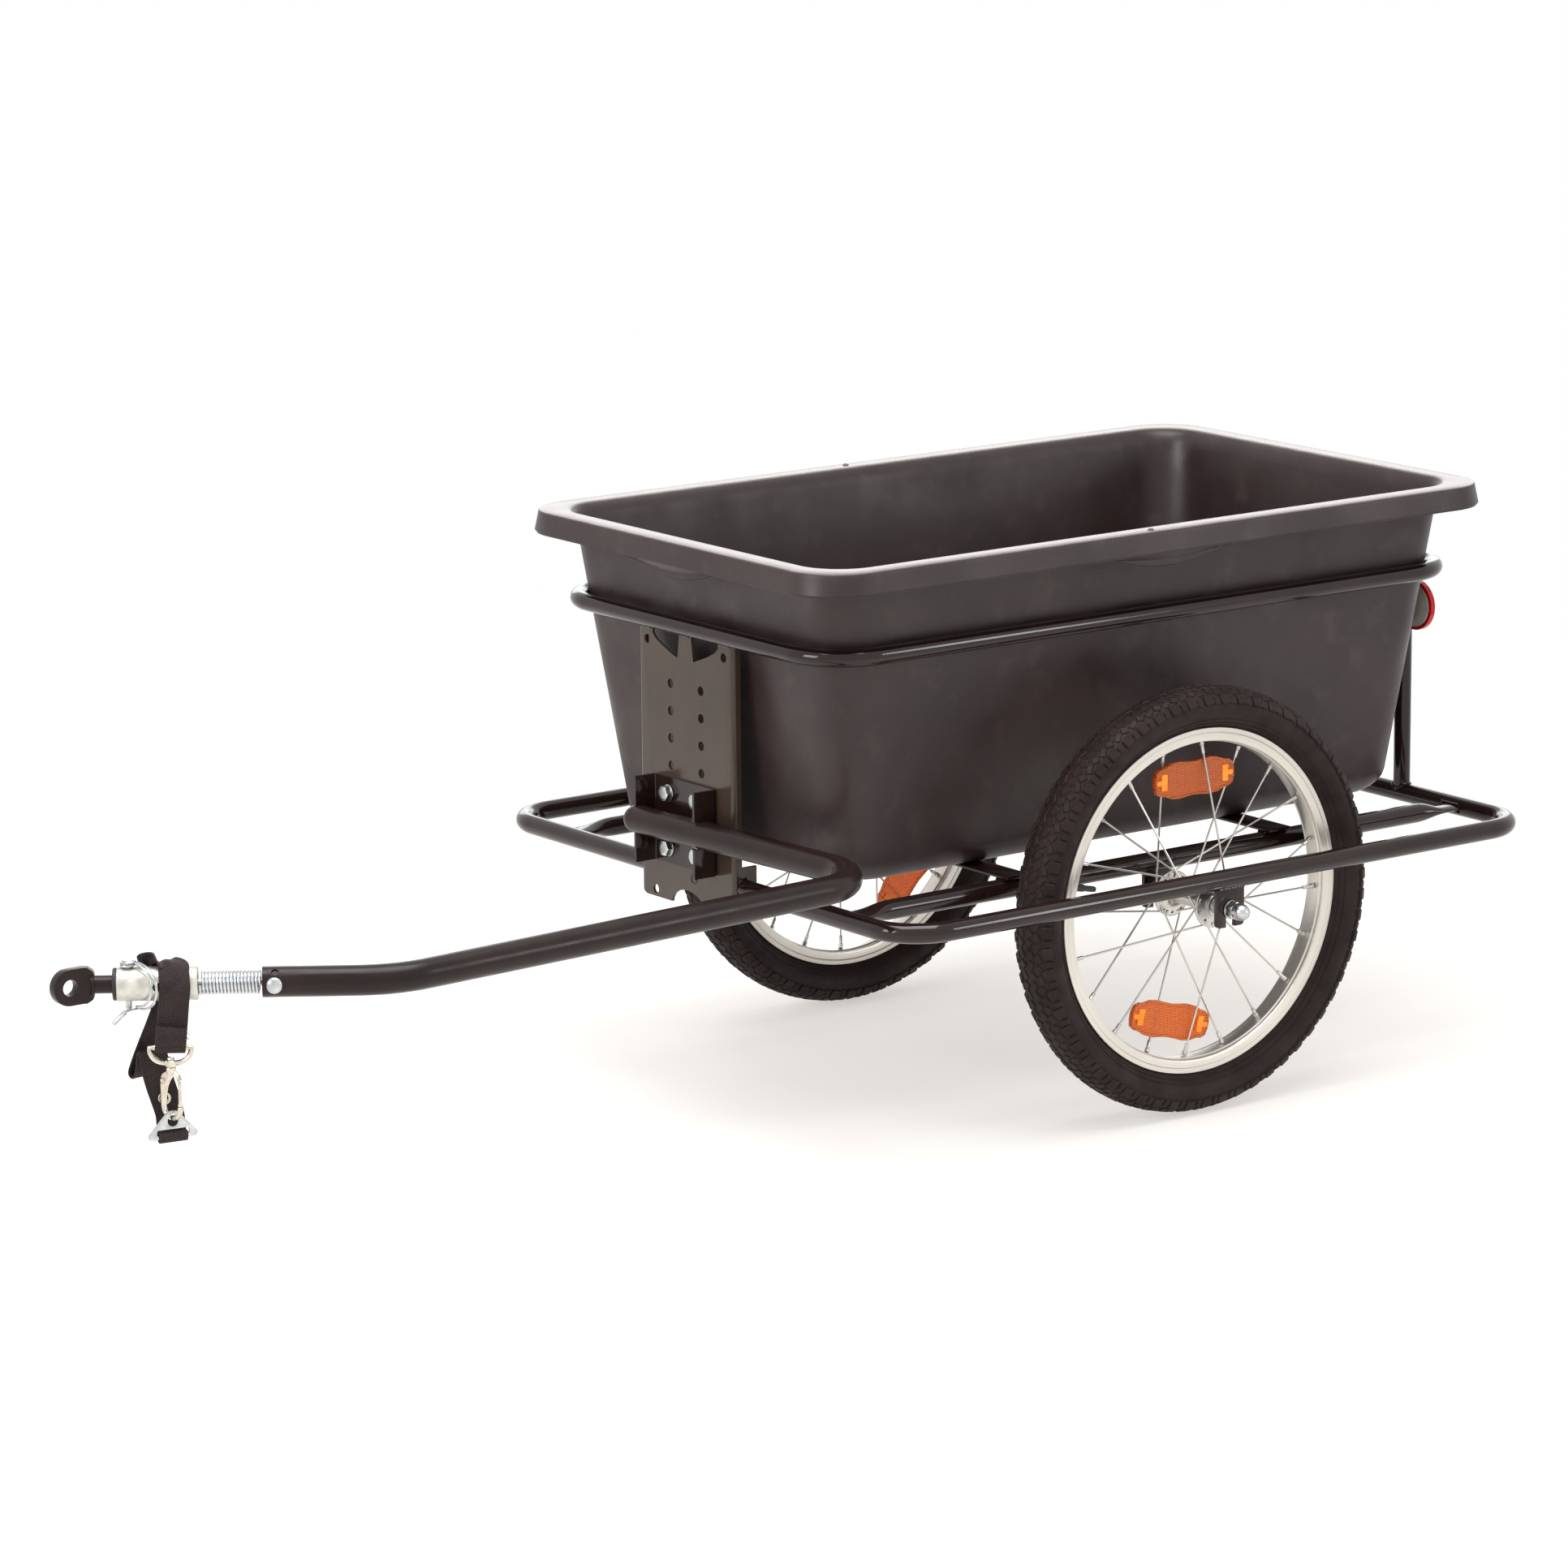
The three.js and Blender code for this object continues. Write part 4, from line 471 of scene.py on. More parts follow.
loop = wire("lower_loop", rounded_loop(LOOP_FRONT, LOOP_REAR, LOOP_HALF, LOOP_Z, 46),
            FRAME_RADIUS, closed=True, fine=7)
paint_frame(loop, "lower_loop")
ring = wire("upper_ring", rounded_loop(RING_FRONT, LOOP_REAR, RING_HALF, RING_Z, 54),
            RING_RADIUS, closed=True, fine=7)
paint_frame(ring, "upper_ring")


def rail_row(x, y, flat):
    """One ring of a rail, round where flat is 0 and pressed to a tip where it is 1."""
    wide = FRAME_RADIUS + (RAIL_TIP_HALF - FRAME_RADIUS) * flat
    thick = FRAME_RADIUS + (RAIL_TIP_THICK - FRAME_RADIUS) * flat
    return [(x, y + wide * math.cos(k * math.pi / 16), LOOP_Z + thick * math.sin(k * math.pi / 16))
            for k in range(32)]


def make_rail(name, y):
    easing = [(0, 1), (10, 1), (17, 0.93), (23, 0.72), (29, 0.4), (35, 0.13), (42, 0)]
    rows = [[(RAIL_REAR, y, LOOP_Z)] * 32]
    rows += [rail_row(RAIL_REAR + reach, y, flat) for reach, flat in easing]
    rows += [rail_row(RAIL_FRONT - reach, y, flat) for reach, flat in reversed(easing)]
    rows += [[(RAIL_FRONT, y, LOOP_Z)] * 32]
    return woven(name, rows)


for side, sign in (("left", 1), ("right", -1)):
    rail = make_rail("inner_rail_" + side, sign * RAIL_Y)
    paint_frame(rail, "inner_rail_" + side)
    strut = wire("rear_strut_" + side, [(LOOP_REAR, sign * STRUT_Y, LOOP_Z + 7),
                                        (LOOP_REAR, sign * STRUT_Y, RING_Z - 6)], 8, fine=7)
    paint_frame(strut, "rear_strut_" + side)
    seams = []
    for z, other, way in ((LOOP_Z, FRAME_RADIUS, 1), (RING_Z, RING_RADIUS, -1)):
        seam = []
        for point in circle_points((LOOP_REAR, sign * STRUT_Y, 0), 8.2, (0, 0, 1), 28):
            across = point.x - LOOP_REAR
            lift = math.sqrt(max(0.0, other ** 2 - min(abs(across), other) ** 2))
            seam.append((point.x, point.y, z + way * (lift + 0.6)))
        seams.append(bead("strut_seam", seam, 1.4))
    for x, way in ((RAIL_REAR, 1), (RAIL_FRONT, -1)):
        for up in (1, -1):
            edge = [(x - way * 0.6, sign * RAIL_Y - 12.5, LOOP_Z + up * 3.4),
                    (x - way * 0.6, sign * RAIL_Y + 12.5, LOOP_Z + up * 3.4)]
            seams.append(bead("rail_seam", edge, 1.5, closed=False))
    paint_frame(joined("frame_welds_" + side, *seams))

for name, x in (("cross_strip_front", -199.99), ("cross_strip_rear", -506.99)):
    strip = bevelled(box(name, (x - STRIP_HALF, -STRIP_REACH, STRIP_LOW),
                         (x + STRIP_HALF, STRIP_REACH, STRIP_HIGH)), 0.7)
    paint_frame(strip, name)
    seams = []
    for sign in (1, -1):
        for way in (-1, 1):
            edge = [(x + way * 13.4, sign * (RAIL_Y - 5.5), 231.4),
                    (x + way * 13.4, sign * (RAIL_Y + 5.5), 231.4)]
            seams.append(bead("strip_seam", edge, 1.4, closed=False))
    paint_frame(joined(name + "_welds", *seams))

# ---------------------------------------------------------------------------------------------
# Front plate: 2.5 mm sheet steel with its sides folded back, punched with two rows of holes
# so that the drawbar can be set at several heights, welded under the ring and round the loop.
# ---------------------------------------------------------------------------------------------
def traced(name, points):
    """A closed outline: a circle primitive whose vertices are moved onto the points."""
    bpy.ops.object.select_all(action="DESELECT")
    bpy.ops.mesh.primitive_circle_add(vertices=len(points), radius=1)
    obj = bpy.context.active_object
    obj.name = name
    for vertex, point in zip(obj.data.vertices, points):
        vertex.co = at(*point)
    return obj


def pressed(name, points, thickness):
    """The outline filled and extruded by a vector in millimetres."""
    obj = traced(name, points)
    alone(obj)
    bpy.ops.object.mode_set(mode="EDIT")
    bpy.ops.mesh.select_all(action="SELECT")
    bpy.ops.mesh.edge_face_add()
    bpy.ops.mesh.extrude_region_move(TRANSFORM_OT_translate={"value": at(*thickness)})
    bpy.ops.object.mode_set(mode="OBJECT")
    return cleaned(obj)


def pin(name, start, end, radius, sides=24):
    """A plain cylinder between two points in millimetres."""
    start, end = Vector(start), Vector(end)
    way = end - start
    bpy.ops.object.select_all(action="DESELECT")
    bpy.ops.mesh.primitive_cylinder_add(vertices=sides, radius=radius * MM,
                                        depth=way.length * MM)
    obj = bpy.context.active_object
    obj.name = name
    turn = Vector((0, 0, 1)).rotation_difference(way.normalized()).to_matrix().to_4x4()
    return moved(obj, Matrix.Translation((start + end) / 2 * MM) @ turn)


PLATE_BACK, PLATE_FRONT, PLATE_HALF = 1.31, 3.81, 71
PLATE_FOOT, PLATE_FLANGE = 196.5, 25
HOLE_RADIUS = 4.3
HOLE_COLUMN, HOLE_PITCH, HOLE_LOWEST, HOLE_ROWS = 23, 25, 247, 7


def channel(name, back, front, half, thickness, low, high):
    """A folded channel: its cross section in plan, with rounded folds, extruded upward."""
    fold = 4
    tight = fold - thickness
    outer, inner = [], []
    for sign, angles in ((1, range(0, 91, 15)), (-1, range(90, -1, -15))):
        for angle in angles:
            turn_x, turn_y = math.sin(math.radians(angle)), math.cos(math.radians(angle))
            outer.append((front - fold + fold * turn_x, sign * (half - fold + fold * turn_y)))
            inner.append((front - thickness - tight + tight * turn_x,
                          sign * (half - thickness - tight + tight * turn_y)))
    outline = [(back, half)] + outer + [(back, -half), (back, thickness - half)]
    outline += inner[::-1] + [(back, half - thickness)]
    return pressed(name, [(x, y, low) for x, y in outline], (0, 0, high - low))


def make_front_plate():
    plate = channel("front_plate", PLATE_FRONT - PLATE_FLANGE, PLATE_FRONT, PLATE_HALF,
                    PLATE_FRONT - PLATE_BACK, PLATE_FOOT, RING_Z - 1)
    cutters = [box("above_tabs", (-40, -90, 243), (PLATE_FRONT - 9, 90, 480)),
               box("below_tabs", (-40, -90, 180), (PLATE_BACK - 0.4, 90, 205)),
               pin("loop_room", (LOOP_FRONT, -90, LOOP_Z), (LOOP_FRONT, 90, LOOP_Z), 8.8, 48),
               pin("ring_room", (RING_FRONT, -90, RING_Z), (RING_FRONT, 90, RING_Z), 7.8, 48)]
    arch = [(24, -9)] + [(24 * x, 14 * z - 0.01) for x, z in arc_points(0, 0, 1, 0, 180, 16)]
    arch = [(-20, y, PLATE_FOOT + z) for y, z in arch + [(-24, -9)]]
    cutters.append(pressed("arch", arch, (40, 0, 0)))
    for sign in (1, -1):
        foot = [(72, -2), (72, 10)] + arc_points(61, 10, 10, 0, -90, 8) + [(61, -2)]
        foot = [(-20, sign * y, PLATE_FOOT + z) for y, z in foot]
        cutters.append(pressed("foot_corner", foot, (40, 0, 0)))
        mouth = RING_Z - RING_RADIUS
        window = [(-20, sign * 49, mouth + 4), (-20, sign * 50, mouth - 3)]
        window += [(-20, sign * (50 - 38 * t), mouth - 3.5 - 17.5 * t ** 0.72)
                   for t in [k / 10 for k in range(1, 11)]]
        window += [(-20, sign * 8.5, mouth + 4)]
        cutters.append(pressed("window", window, (40, 0, 0)))
        holes = [(HOLE_COLUMN, HOLE_LOWEST + row * HOLE_PITCH) for row in range(HOLE_ROWS)]
        for y, z in holes + [(58, 432.6), (49, 203.5)]:
            cutters.append(pin("hole", (-20, sign * y, z), (20, sign * y, z), HOLE_RADIUS))
    return bevelled(carved(plate, *cutters), 0.35, 1, 50)


# The same paint on flat sheet, its base colour painted a lighter, warmer brown-grey than the
# tubes':
# a painted sheen for the pale floor that the sheet mirrors, over the reflection the shader gives.
SHEET_BLACK_PAINTED_SHEEN = surface("sheet_powder_coat_painted_sheen", ("#32271f", "#3c3028"), (0.14, 0.22), size=90, fine=4,
                      bump=0.01, coat=0.15, shine=0.36)
settle(make_front_plate(), "frame", "frame_paint", SHEET_BLACK_PAINTED_SHEEN, "front_plate", angle=30)
seams = []
for sign in (1, -1):
    seams.append(bead("ring_seam", [(3.4, sign * 52, 443.4), (3.4, sign * 69, 443.4)], 1.3, False))
    for run in (((-9.5, 232.4), (-3, 231.2), (0.6, 228)), ((-14, 215.6), (-8, 213.4), (-1, 215.8))):
        seams.append(bead("tab_seam", [(x, sign * 71.2, z) for x, z in run], 1.4, False))
seams.append(bead("ring_seam", [(3.4, -8, 443.2), (3.4, 8, 443.2)], 1.3, False))
seams.append(wire("dimple", circle_points((PLATE_FRONT, 10, 223), 4.2, (1, 0, 0)), 0.7, True, 2))
paint_frame(joined("front_plate_welds", *seams))

# ---------------------------------------------------------------------------------------------
# Drawbar bracket: 3 mm sheet steel folded to a channel, its ears notched for the drawbar that
# is welded into them, and held on the plate by four zinc M8 bolts with washers and nuts.
# ---------------------------------------------------------------------------------------------
DRAWBAR_Z = 272
DRAWBAR_RADIUS = 12.7
DRAWBAR_YAW = 3.9
DRAWBAR_BASE = (23.28, 0)
BRACKET_BACK, BRACKET_EAR, BRACKET_HALF, BRACKET_WALL = 4.11, 29.1, 46.5, 3
BRACKET_HALF_HEIGHT = 39.5


def turned(name, profile, place, segments=32):
    """A profile of (radius, height) points in millimetres, spun about Z and put in place."""
    obj = traced(name, [(radius, 0, height) for radius, height in profile])
    alone(obj)
    bpy.ops.object.mode_set(mode="EDIT")
    bpy.ops.mesh.select_all(action="SELECT")
    bpy.ops.mesh.spin(steps=segments, angle=2 * math.pi, center=(0, 0, 0), axis=(0, 0, 1))
    bpy.ops.object.mode_set(mode="OBJECT")
    return moved(cleaned(obj), place)


def along(start, way):
    """The matrix that stands a turned piece at a point in millimetres with Z along a vector."""
    turn = Vector((0, 0, 1)).rotation_difference(Vector(way).normalized())
    return Matrix.Translation(at(*start)) @ turn.to_matrix().to_4x4()


def make_bracket():
    # The bracket's ears point forward, so the channel is turned about, with its web at the back.
    span = BRACKET_BACK + BRACKET_EAR
    flip = Matrix.Translation(at(span, 0, 0)) @ Matrix.Rotation(math.pi, 4, "Z")
    bracket = channel("drawbar_bracket", BRACKET_BACK, BRACKET_EAR, BRACKET_HALF, BRACKET_WALL,
                      DRAWBAR_Z - BRACKET_HALF_HEIGHT, DRAWBAR_Z + BRACKET_HALF_HEIGHT)
    moved(bracket, flip)
    yaw = math.radians(DRAWBAR_YAW)
    aside = Vector((-math.sin(yaw), math.cos(yaw), 0))
    base = Vector((*DRAWBAR_BASE, DRAWBAR_Z))
    cutters = [pin("tube_room", base - aside * 60, base + aside * 60, 12.6, 48)]
    mouth = box("mouth", (0, -60, -12.6), (40, 60, 12.6))
    cutters.append(moved(mouth, Matrix.Translation(base * MM) @ Matrix.Rotation(yaw, 4, "Z")))
    return bevelled(carved(bracket, *cutters), 0.4, 1, 50)


paint_frame(make_bracket(), "drawbar_bracket", angle=30)
yaw = math.radians(DRAWBAR_YAW)
seams = []
for sign in (1, -1):
    y = sign * (BRACKET_HALF - BRACKET_WALL / 2)
    centre = Vector((DRAWBAR_BASE[0] - math.tan(yaw) * y, y, DRAWBAR_Z))
    for side in (1, -1):
        arc = [centre + Vector((-x, side * 2.2, z))
               for x, z in arc_points(0, 0, 12.9, -70, 70, 14)]
        seams.append(bead("bracket_seam", arc, 1.4, False))
paint_frame(joined("bracket_welds", *seams))

# Bright zinc plate: cool grey metal with a soft sheen and a faint mottle.
ZINC = surface("zinc_plate", ("#b4b8ba", "#d2d4d3"), (0.2, 0.36), metal=1.0, size=9, fine=0.8,
               bump=0.01)


def hexagon(name, across, height, place, hole=0.0):
    """A hexagon nut or head with its corners turned off: a drum cut down to six sides."""
    outer = across / math.sqrt(3)
    chamfer = outer - across / 2
    drum = turned(name, [(0, 0), (across / 2 + 0.1, 0), (outer, chamfer * 0.6),
                         (outer, height - chamfer * 0.6), (across / 2 - 0.2, height), (0, height)],
                  Matrix.Identity(4), 48)
    prism = pin("prism", (0, 0, -1), (0, 0, height + 1), outer, 6)
    modified(drum, "BOOLEAN", operation="INTERSECT", solver="EXACT", object=prism)
    bpy.data.objects.remove(prism)
    if hole:
        carved(drum, pin("bore", (0, 0, -1), (0, 0, height + 1), hole))
    return moved(cleaned(drum), place)


def washer(name, outer, inner, height, place):
    ring = [(inner, 0), (outer - 0.3, 0), (outer, 0.3), (outer, height - 0.3),
            (outer - 0.3, height), (inner, height)]
    return turned(name, ring, place, 40)


def bolt_pieces(y, z):
    forward, back = (1, 0, 0), (-1, 0, 0)
    return [hexagon("head", 13, 5.3, along((8.9, y, z), forward)),
            washer("washer", 8, 4.2, 1.5, along((7.42, y, z), forward)),
            pin("shank", (9.2, y, z), (-8.3, y, z), 3.95),
            hexagon("nut", 13, 6.4, along((1.0, y, z), back)),
            turned("head_dish", [(0, 5.3), (4.4, 5.3), (4.0, 5.05), (0, 5.0)],
                   along((8.95, y, z), forward))]


bolt_places = [(sign * HOLE_COLUMN, DRAWBAR_Z + way * HOLE_PITCH)
               for sign in (-1, 1) for way in (-1, 1)]
for number, (y, z) in enumerate(bolt_places, 1):
    name = "bracket_bolt_%d" % number
    settle(joined(name, *bolt_pieces(y, z)), "frame", "zinc", ZINC, name, angle=30)

# ---------------------------------------------------------------------------------------------
# Drawbar: one bent steel tube in satin black, from its closed stub across to the trailer's
# left, forward past the wheel and in to the coupling, with a dome headed cross bolt at its end.
# ---------------------------------------------------------------------------------------------
DRAWBAR_START = (26.34, -44.9, DRAWBAR_Z)
DRAWBAR_ELBOW = (4.03, 282.34, DRAWBAR_Z)
DRAWBAR_KNEE = (523.8, 317.8, DRAWBAR_Z)
DRAWBAR_END = (612.311, 256.738, DRAWBAR_Z)
# Satin powder coat: the same black with a softer, wider sheen and a little texture.
SATIN_BLACK = surface("satin_powder_coat", ("#1b100f", "#231614"), (0.24, 0.34), size=50, fine=2,
                      bump=0.02, shine=0.26)
ARM_TURN = 0.6038839
ARM = Matrix.Translation(at(*DRAWBAR_END)) @ Matrix.Rotation(-ARM_TURN, 4, "Z")
X_UP = ARM @ Matrix.Rotation(math.pi / 2, 4, "Y")


def arm_point(x, y, z):
    """A point of the arm's own frame, in millimetres, carried into the scene's frame."""
    return tuple(c / MM for c in ARM @ at(x, y, z))


path = [DRAWBAR_START, *corner(DRAWBAR_START, DRAWBAR_ELBOW, DRAWBAR_KNEE, 63, 24),
        *corner(DRAWBAR_ELBOW, DRAWBAR_KNEE, DRAWBAR_END, 90, 14), DRAWBAR_END]
bar = wire("drawbar_tube", path, DRAWBAR_RADIUS, fine=9)
carved(bar, pin("spare_hole", arm_point(-10.5, 6.5, 8.6), arm_point(-10.5, 12.5, 15), 3.1),
       pin("socket_room", arm_point(-34, 0, 0), arm_point(3, 0, 0), 10.7, 40))
start_way = Vector(DRAWBAR_START) - Vector(DRAWBAR_ELBOW)
dome = arc_points(0, 0, DRAWBAR_RADIUS, 0, 90, 9) + [(0, -1), (DRAWBAR_RADIUS, -1)]
dome = turned("stub_dome", dome, along(DRAWBAR_START, start_way), 40)
settle(joined("drawbar_tube", bar, dome), "frame", "drawbar_paint", SATIN_BLACK, "drawbar_tube")

aside = tuple(ARM.to_3x3() @ Vector((0, 1, 0)))
behind = tuple(-c for c in aside)
head = turned("cross_bolt_head",
              [(0, 0), (6.8, 0), (6.8, 0.9), (6.1, 2.3), (4.4, 3.4), (2.2, 3.9), (0, 4)],
              along(arm_point(-10, 12.6, 0), aside))
cross = joined("drawbar_cross_bolt", head,
               pin("shank", arm_point(-10, 13, 0), arm_point(-10, -19.8, 0), 2.9),
               hexagon("cross_nut", 9.4, 4, along(arm_point(-10, -12.6, 0), behind)))
settle(cross, "frame", "zinc", ZINC, "drawbar_cross_bolt")

# ---------------------------------------------------------------------------------------------
# Sprung coupling: a close zinc coil from the drawbar's mouth to the sleeve, round a plug, a
# bead and a stud that carry the pull. It gives in every direction as the bicycle leans.
# ---------------------------------------------------------------------------------------------
SPRING_LENGTH, SPRING_MEAN, SPRING_WIRE, SPRING_CURLS = 52, 8.85, 1.33, 17
SPRING_SEAT = 1.6
CORE_PLACE, CORE_RADIUS = 26, 6

# Drawn wire, zinc plated: smoother and brighter than the pressed and turned fittings.
SPRING_ZINC = surface("zinc_wire", ("#bcc0c3", "#cfd2d4"), (0.2, 0.28), metal=1.0, size=30,
                      bump=0)


def make_spring_half(name, first, last):
    """The coil from one share of its length to another, put on no body."""
    points = []
    steps = round(SPRING_CURLS * 20 * (last - first))
    for k in range(steps + 1):
        share = first + (last - first) * k / steps
        angle = 2 * math.pi * SPRING_CURLS * share
        place = SPRING_SEAT + (SPRING_LENGTH - 2 * SPRING_SEAT) * share
        points.append(arm_point(place, SPRING_MEAN * math.cos(angle),
                                SPRING_MEAN * math.sin(angle)))
    half = wire(name, points, SPRING_WIRE, fine=4)
    settle(half, None, "zinc", SPRING_ZINC, "coupling_spring", angle=60)
    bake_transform(half)


rear, middle, front = (tuple(ARM @ at(x, 0, 0)) for x in (3, CORE_PLACE, 49))
make_spring_half("coupling_spring_rear", 0, 0.5)
make_spring_half("coupling_spring_front", 0.5, 1)
plug = turned("spring_plug", [(0, -30), (10.2, -30), (10.4, -29.5), (10.4, -0.8), (9.9, -0.3),
                              (3.5, -0.3), (3.5, 19.5), (0, 19.5)], X_UP)
settle(plug, "frame", "zinc", ZINC, "spring_plug")
core_bead = turned("core_bead", arc_points(0, CORE_PLACE, CORE_RADIUS, -90, 90, 15), X_UP)
settle(core_bead, "spring_core", "zinc", ZINC, "core_bead")
stud = turned("spring_stud",
              [(0, 32.5), (3.5, 32.5), (3.5, 62.3), (7, 62.3), (7, 66.3), (0, 66.3)], X_UP)
settle(stud, "coupling", "zinc", ZINC, "spring_stud")

# ---------------------------------------------------------------------------------------------
# Sleeve and hitch: a galvanised socket with a black nylon bush, which holds the stub of the
# hitch eye; the eye is an 8 mm steel plate welded on the stub and goes over the wheel's axle.
# ---------------------------------------------------------------------------------------------
# Hot dip galvanising: pale and dull, with a spangle. Nylon: black, matt and even.
GALVANISED = surface("galvanised_steel", ("#b9b7ae", "#d6d4cb"), (0.36, 0.55), metal=0.85, size=12,
                     fine=1.2, bump=0.03)
NYLON = surface("nylon", ("#141414", "#1d1d1d"), (0.4, 0.55), size=12, fine=1, bump=0.015)
PIN_X = 108.5
sleeve = turned("coupling_sleeve", [(3.9, 52), (13.3, 52), (14, 52.7), (14, 116.9), (13.4, 117.5),
                                    (9.6, 117.5), (9.6, 62), (3.9, 62)], X_UP, 64)
carved(sleeve, pin("pin_hole", arm_point(PIN_X, 0, -30), arm_point(PIN_X, 0, 30), 3.1),
       *[pin("side_hole", arm_point(84, 0, 0), arm_point(84, y, 0), 4) for y in (40, -40)])
settle(sleeve, "coupling", "galvanised", GALVANISED, "coupling_sleeve", angle=30)
bush = turned("sleeve_bush", [(7.9, 91.5), (9.3, 91.5), (9.3, 117.7), (13, 117.7), (13.4, 118.1),
                              (13.4, 120.2), (12.8, 120.8), (8.2, 120.8), (7.9, 120.4)], X_UP, 48)
settle(bush, "coupling", "black_plastic", NYLON, "sleeve_bush")
stub = turned("hitch_stub", [(0, 89.5), (7, 89.5), (7.5, 90), (7.5, 136.5), (0, 136.5)], X_UP, 40)
settle(stub, "coupling", "drawbar_paint", SATIN_BLACK, "hitch_stub")


HITCH_X, HITCH_Y, HITCH_HOLE = 745.67, 174.4, 6.8
EYE_THICK, EYE_HALF, KNUCKLE_X = 8, 15, 145


def make_eye():
    def slab(name, outline, turn, x):
        obj = pressed(name, [(x, -EYE_THICK / 2, z) for x, z in outline], (0, EYE_THICK, 0))
        return moved(obj, ARM @ Matrix.Translation(at(x, 0, 0)) @ Matrix.Rotation(turn, 4, "Z"))
    neck = [(0, 9), (0, -9), (1.5, -12), (6, -15), (10.1, -15), (10.1, 15), (6, 15), (1.5, 12)]
    eye = slab("hitch_eye", neck, 0, 135.5)
    nose = [(0, EYE_HALF), (0, -EYE_HALF)] + arc_points(14, 0, EYE_HALF, -90, 90, 20)
    nose = slab("nose", nose, ARM_TURN, KNUCKLE_X)
    knuckle = pin("knuckle", arm_point(KNUCKLE_X, 0, -EYE_HALF), arm_point(KNUCKLE_X, 0, EYE_HALF),
                  EYE_THICK / 2, 32)
    for other in (nose, knuckle):
        modified(eye, "BOOLEAN", operation="UNION", solver="EXACT", object=other)
        bpy.data.objects.remove(other)
    carved(eye, pin("hole", (HITCH_X, HITCH_Y - 12, DRAWBAR_Z), (HITCH_X, HITCH_Y + 12, DRAWBAR_Z),
                    HITCH_HOLE, 40))
    return bevelled(cleaned(eye), 0.9, 3, 40)


seams = []
for side in (1, -1):
    arc = [arm_point(136.2 + 1.2 * abs(s), side * (4.4 + 3.4 * abs(c)), 8.2 * s)
           for c, s in arc_points(0, 0, 1, -80, 80, 10)]
    seams.append(bead("eye_seam", arc, 1.5, False))
settle(joined("hitch_eye", make_eye(), *seams), "coupling", "drawbar_paint", SATIN_BLACK,
       "hitch_eye", angle=40)

# ---------------------------------------------------------------------------------------------
# Linch pin: a zinc pin through sleeve and stub, its wire head coiled, and a sprung bow of two
# wires that swings over the sleeve and snaps under the pin's tip, ending in a short lever.
# ---------------------------------------------------------------------------------------------
pin_body = turned("linch_pin", [(0, -22), (1.6, -22), (2.8, -19.4), (2.8, 14.4), (4.3, 14.4),
                                (4.5, 14.7), (4.5, 19.4), (3.9, 20.1), (0, 20.1)],
                  ARM @ Matrix.Translation(at(PIN_X, 0, 0)))
coil = [arm_point(PIN_X + 5.6 * math.cos(a), 5.6 * math.sin(a), 15.5 + 2.3 * a / (2 * math.pi))
        for a in [math.radians(12 * k) for k in range(46)]]
settle(joined("linch_pin", pin_body, wire("head_coil", coil, 1.1, fine=3)), "coupling", "zinc",
       ZINC, "linch_pin")

BOW_SIN, BOW_COS = math.sin(math.radians(42)), math.cos(math.radians(42))
BOW_TOP, BOW_FOOT, BOW_BULGE = 17.5, -20.8, 28.5


def bow_point(out, side, height):
    """A point of the bow by its reach from the pin, its place across and its height."""
    return arm_point(PIN_X - BOW_SIN * out + BOW_COS * side, BOW_COS * out + BOW_SIN * side,
                     height)


def bow_leg(side, bulge, top, foot):
    middle, half = (top + foot) / 2, (top - foot) / 2
    return [bow_point(bulge * abs(math.sin(a)) ** 0.7, side, middle + half * math.cos(a))
            for a in [math.pi * k / 26 for k in range(27)]]


leg_in = bow_leg(-2.9, BOW_BULGE - 2.8, BOW_TOP + 0.3, BOW_FOOT + 2.4)[::-1]
leg_out = bow_leg(-6.4, BOW_BULGE, BOW_TOP, BOW_FOOT)
top_turn = [bow_point(-2.2 * math.sin(a), -4.65 + 1.75 * math.cos(a), BOW_TOP + 0.2)
            for a in [math.radians(30 * k) for k in range(1, 6)]]
foot_turn = [bow_point(out, side, BOW_FOOT - drop) for out, side, drop in
             ((3.6, -5.2, 0), (4.3, -3.6, 0), (4.4, 3, 0), (4.4, 6.4, 0.3), (4.4, 19.5, 8))]
bow = wire("pin_bow", leg_in[1:] + top_turn + leg_out[1:-1] + foot_turn, 1.15, fine=3)
lever = wire("bow_lever", [bow_point(4.4, 7, BOW_FOOT - 0.7), bow_point(4.4, 20, BOW_FOOT - 8.3)],
             1.9, fine=4)
settle(joined("pin_bow", bow, lever), "pin_bow", "zinc", ZINC, "pin_bow")

# ---------------------------------------------------------------------------------------------
# Safety strap: black polypropylene webbing, 25 mm wide, sewn back on itself round the D-ring,
# thrown over the sleeve, hanging behind it in a slack fold and sewn round the link's foot.
# ---------------------------------------------------------------------------------------------
STRAP_WIDTH, STRAP_THICK, STRAP_X, RING_X = 25, 1.8, 70, 75
RING_PLANE, RING_BAR, FOLD = 14.3, 50, 3.75
WRAP = 15.74
STRAP_DROP = 124.2
LINK_TURN = 25
# The slack fold behind the sleeve: shares of the drop in x, y and z, turn and tilt of the width.
SLACK = [(0.05, -0.13, -0.14, 8, 0.05), (0.11, -0.13, -0.29, 18, 0.08),
         (0.18, -0.13, -0.44, 28, 0.1), (0.238, -0.128, -0.56, 40, 0.08),
         (0.258, -0.123, -0.612, 46, 0.05), (0.256, -0.109, -0.64, 49, 0.05),
         (0.236, -0.092, -0.642, 49, 0.04), (0.218, -0.08, -0.61, 47, 0),
         (0.203, -0.069, -0.55, 42, 0), (0.19, -0.058, -0.49, 34, 0),
         (0.177, -0.043, -0.466, 30, 0), (0.164, -0.028, -0.49, 26, 0),
         (0.147, -0.018, -0.58, 22, -0.03), (0.122, -0.011, -0.68, 21, -0.03),
         (0.066, 0.008, -0.868, 24, 0)]


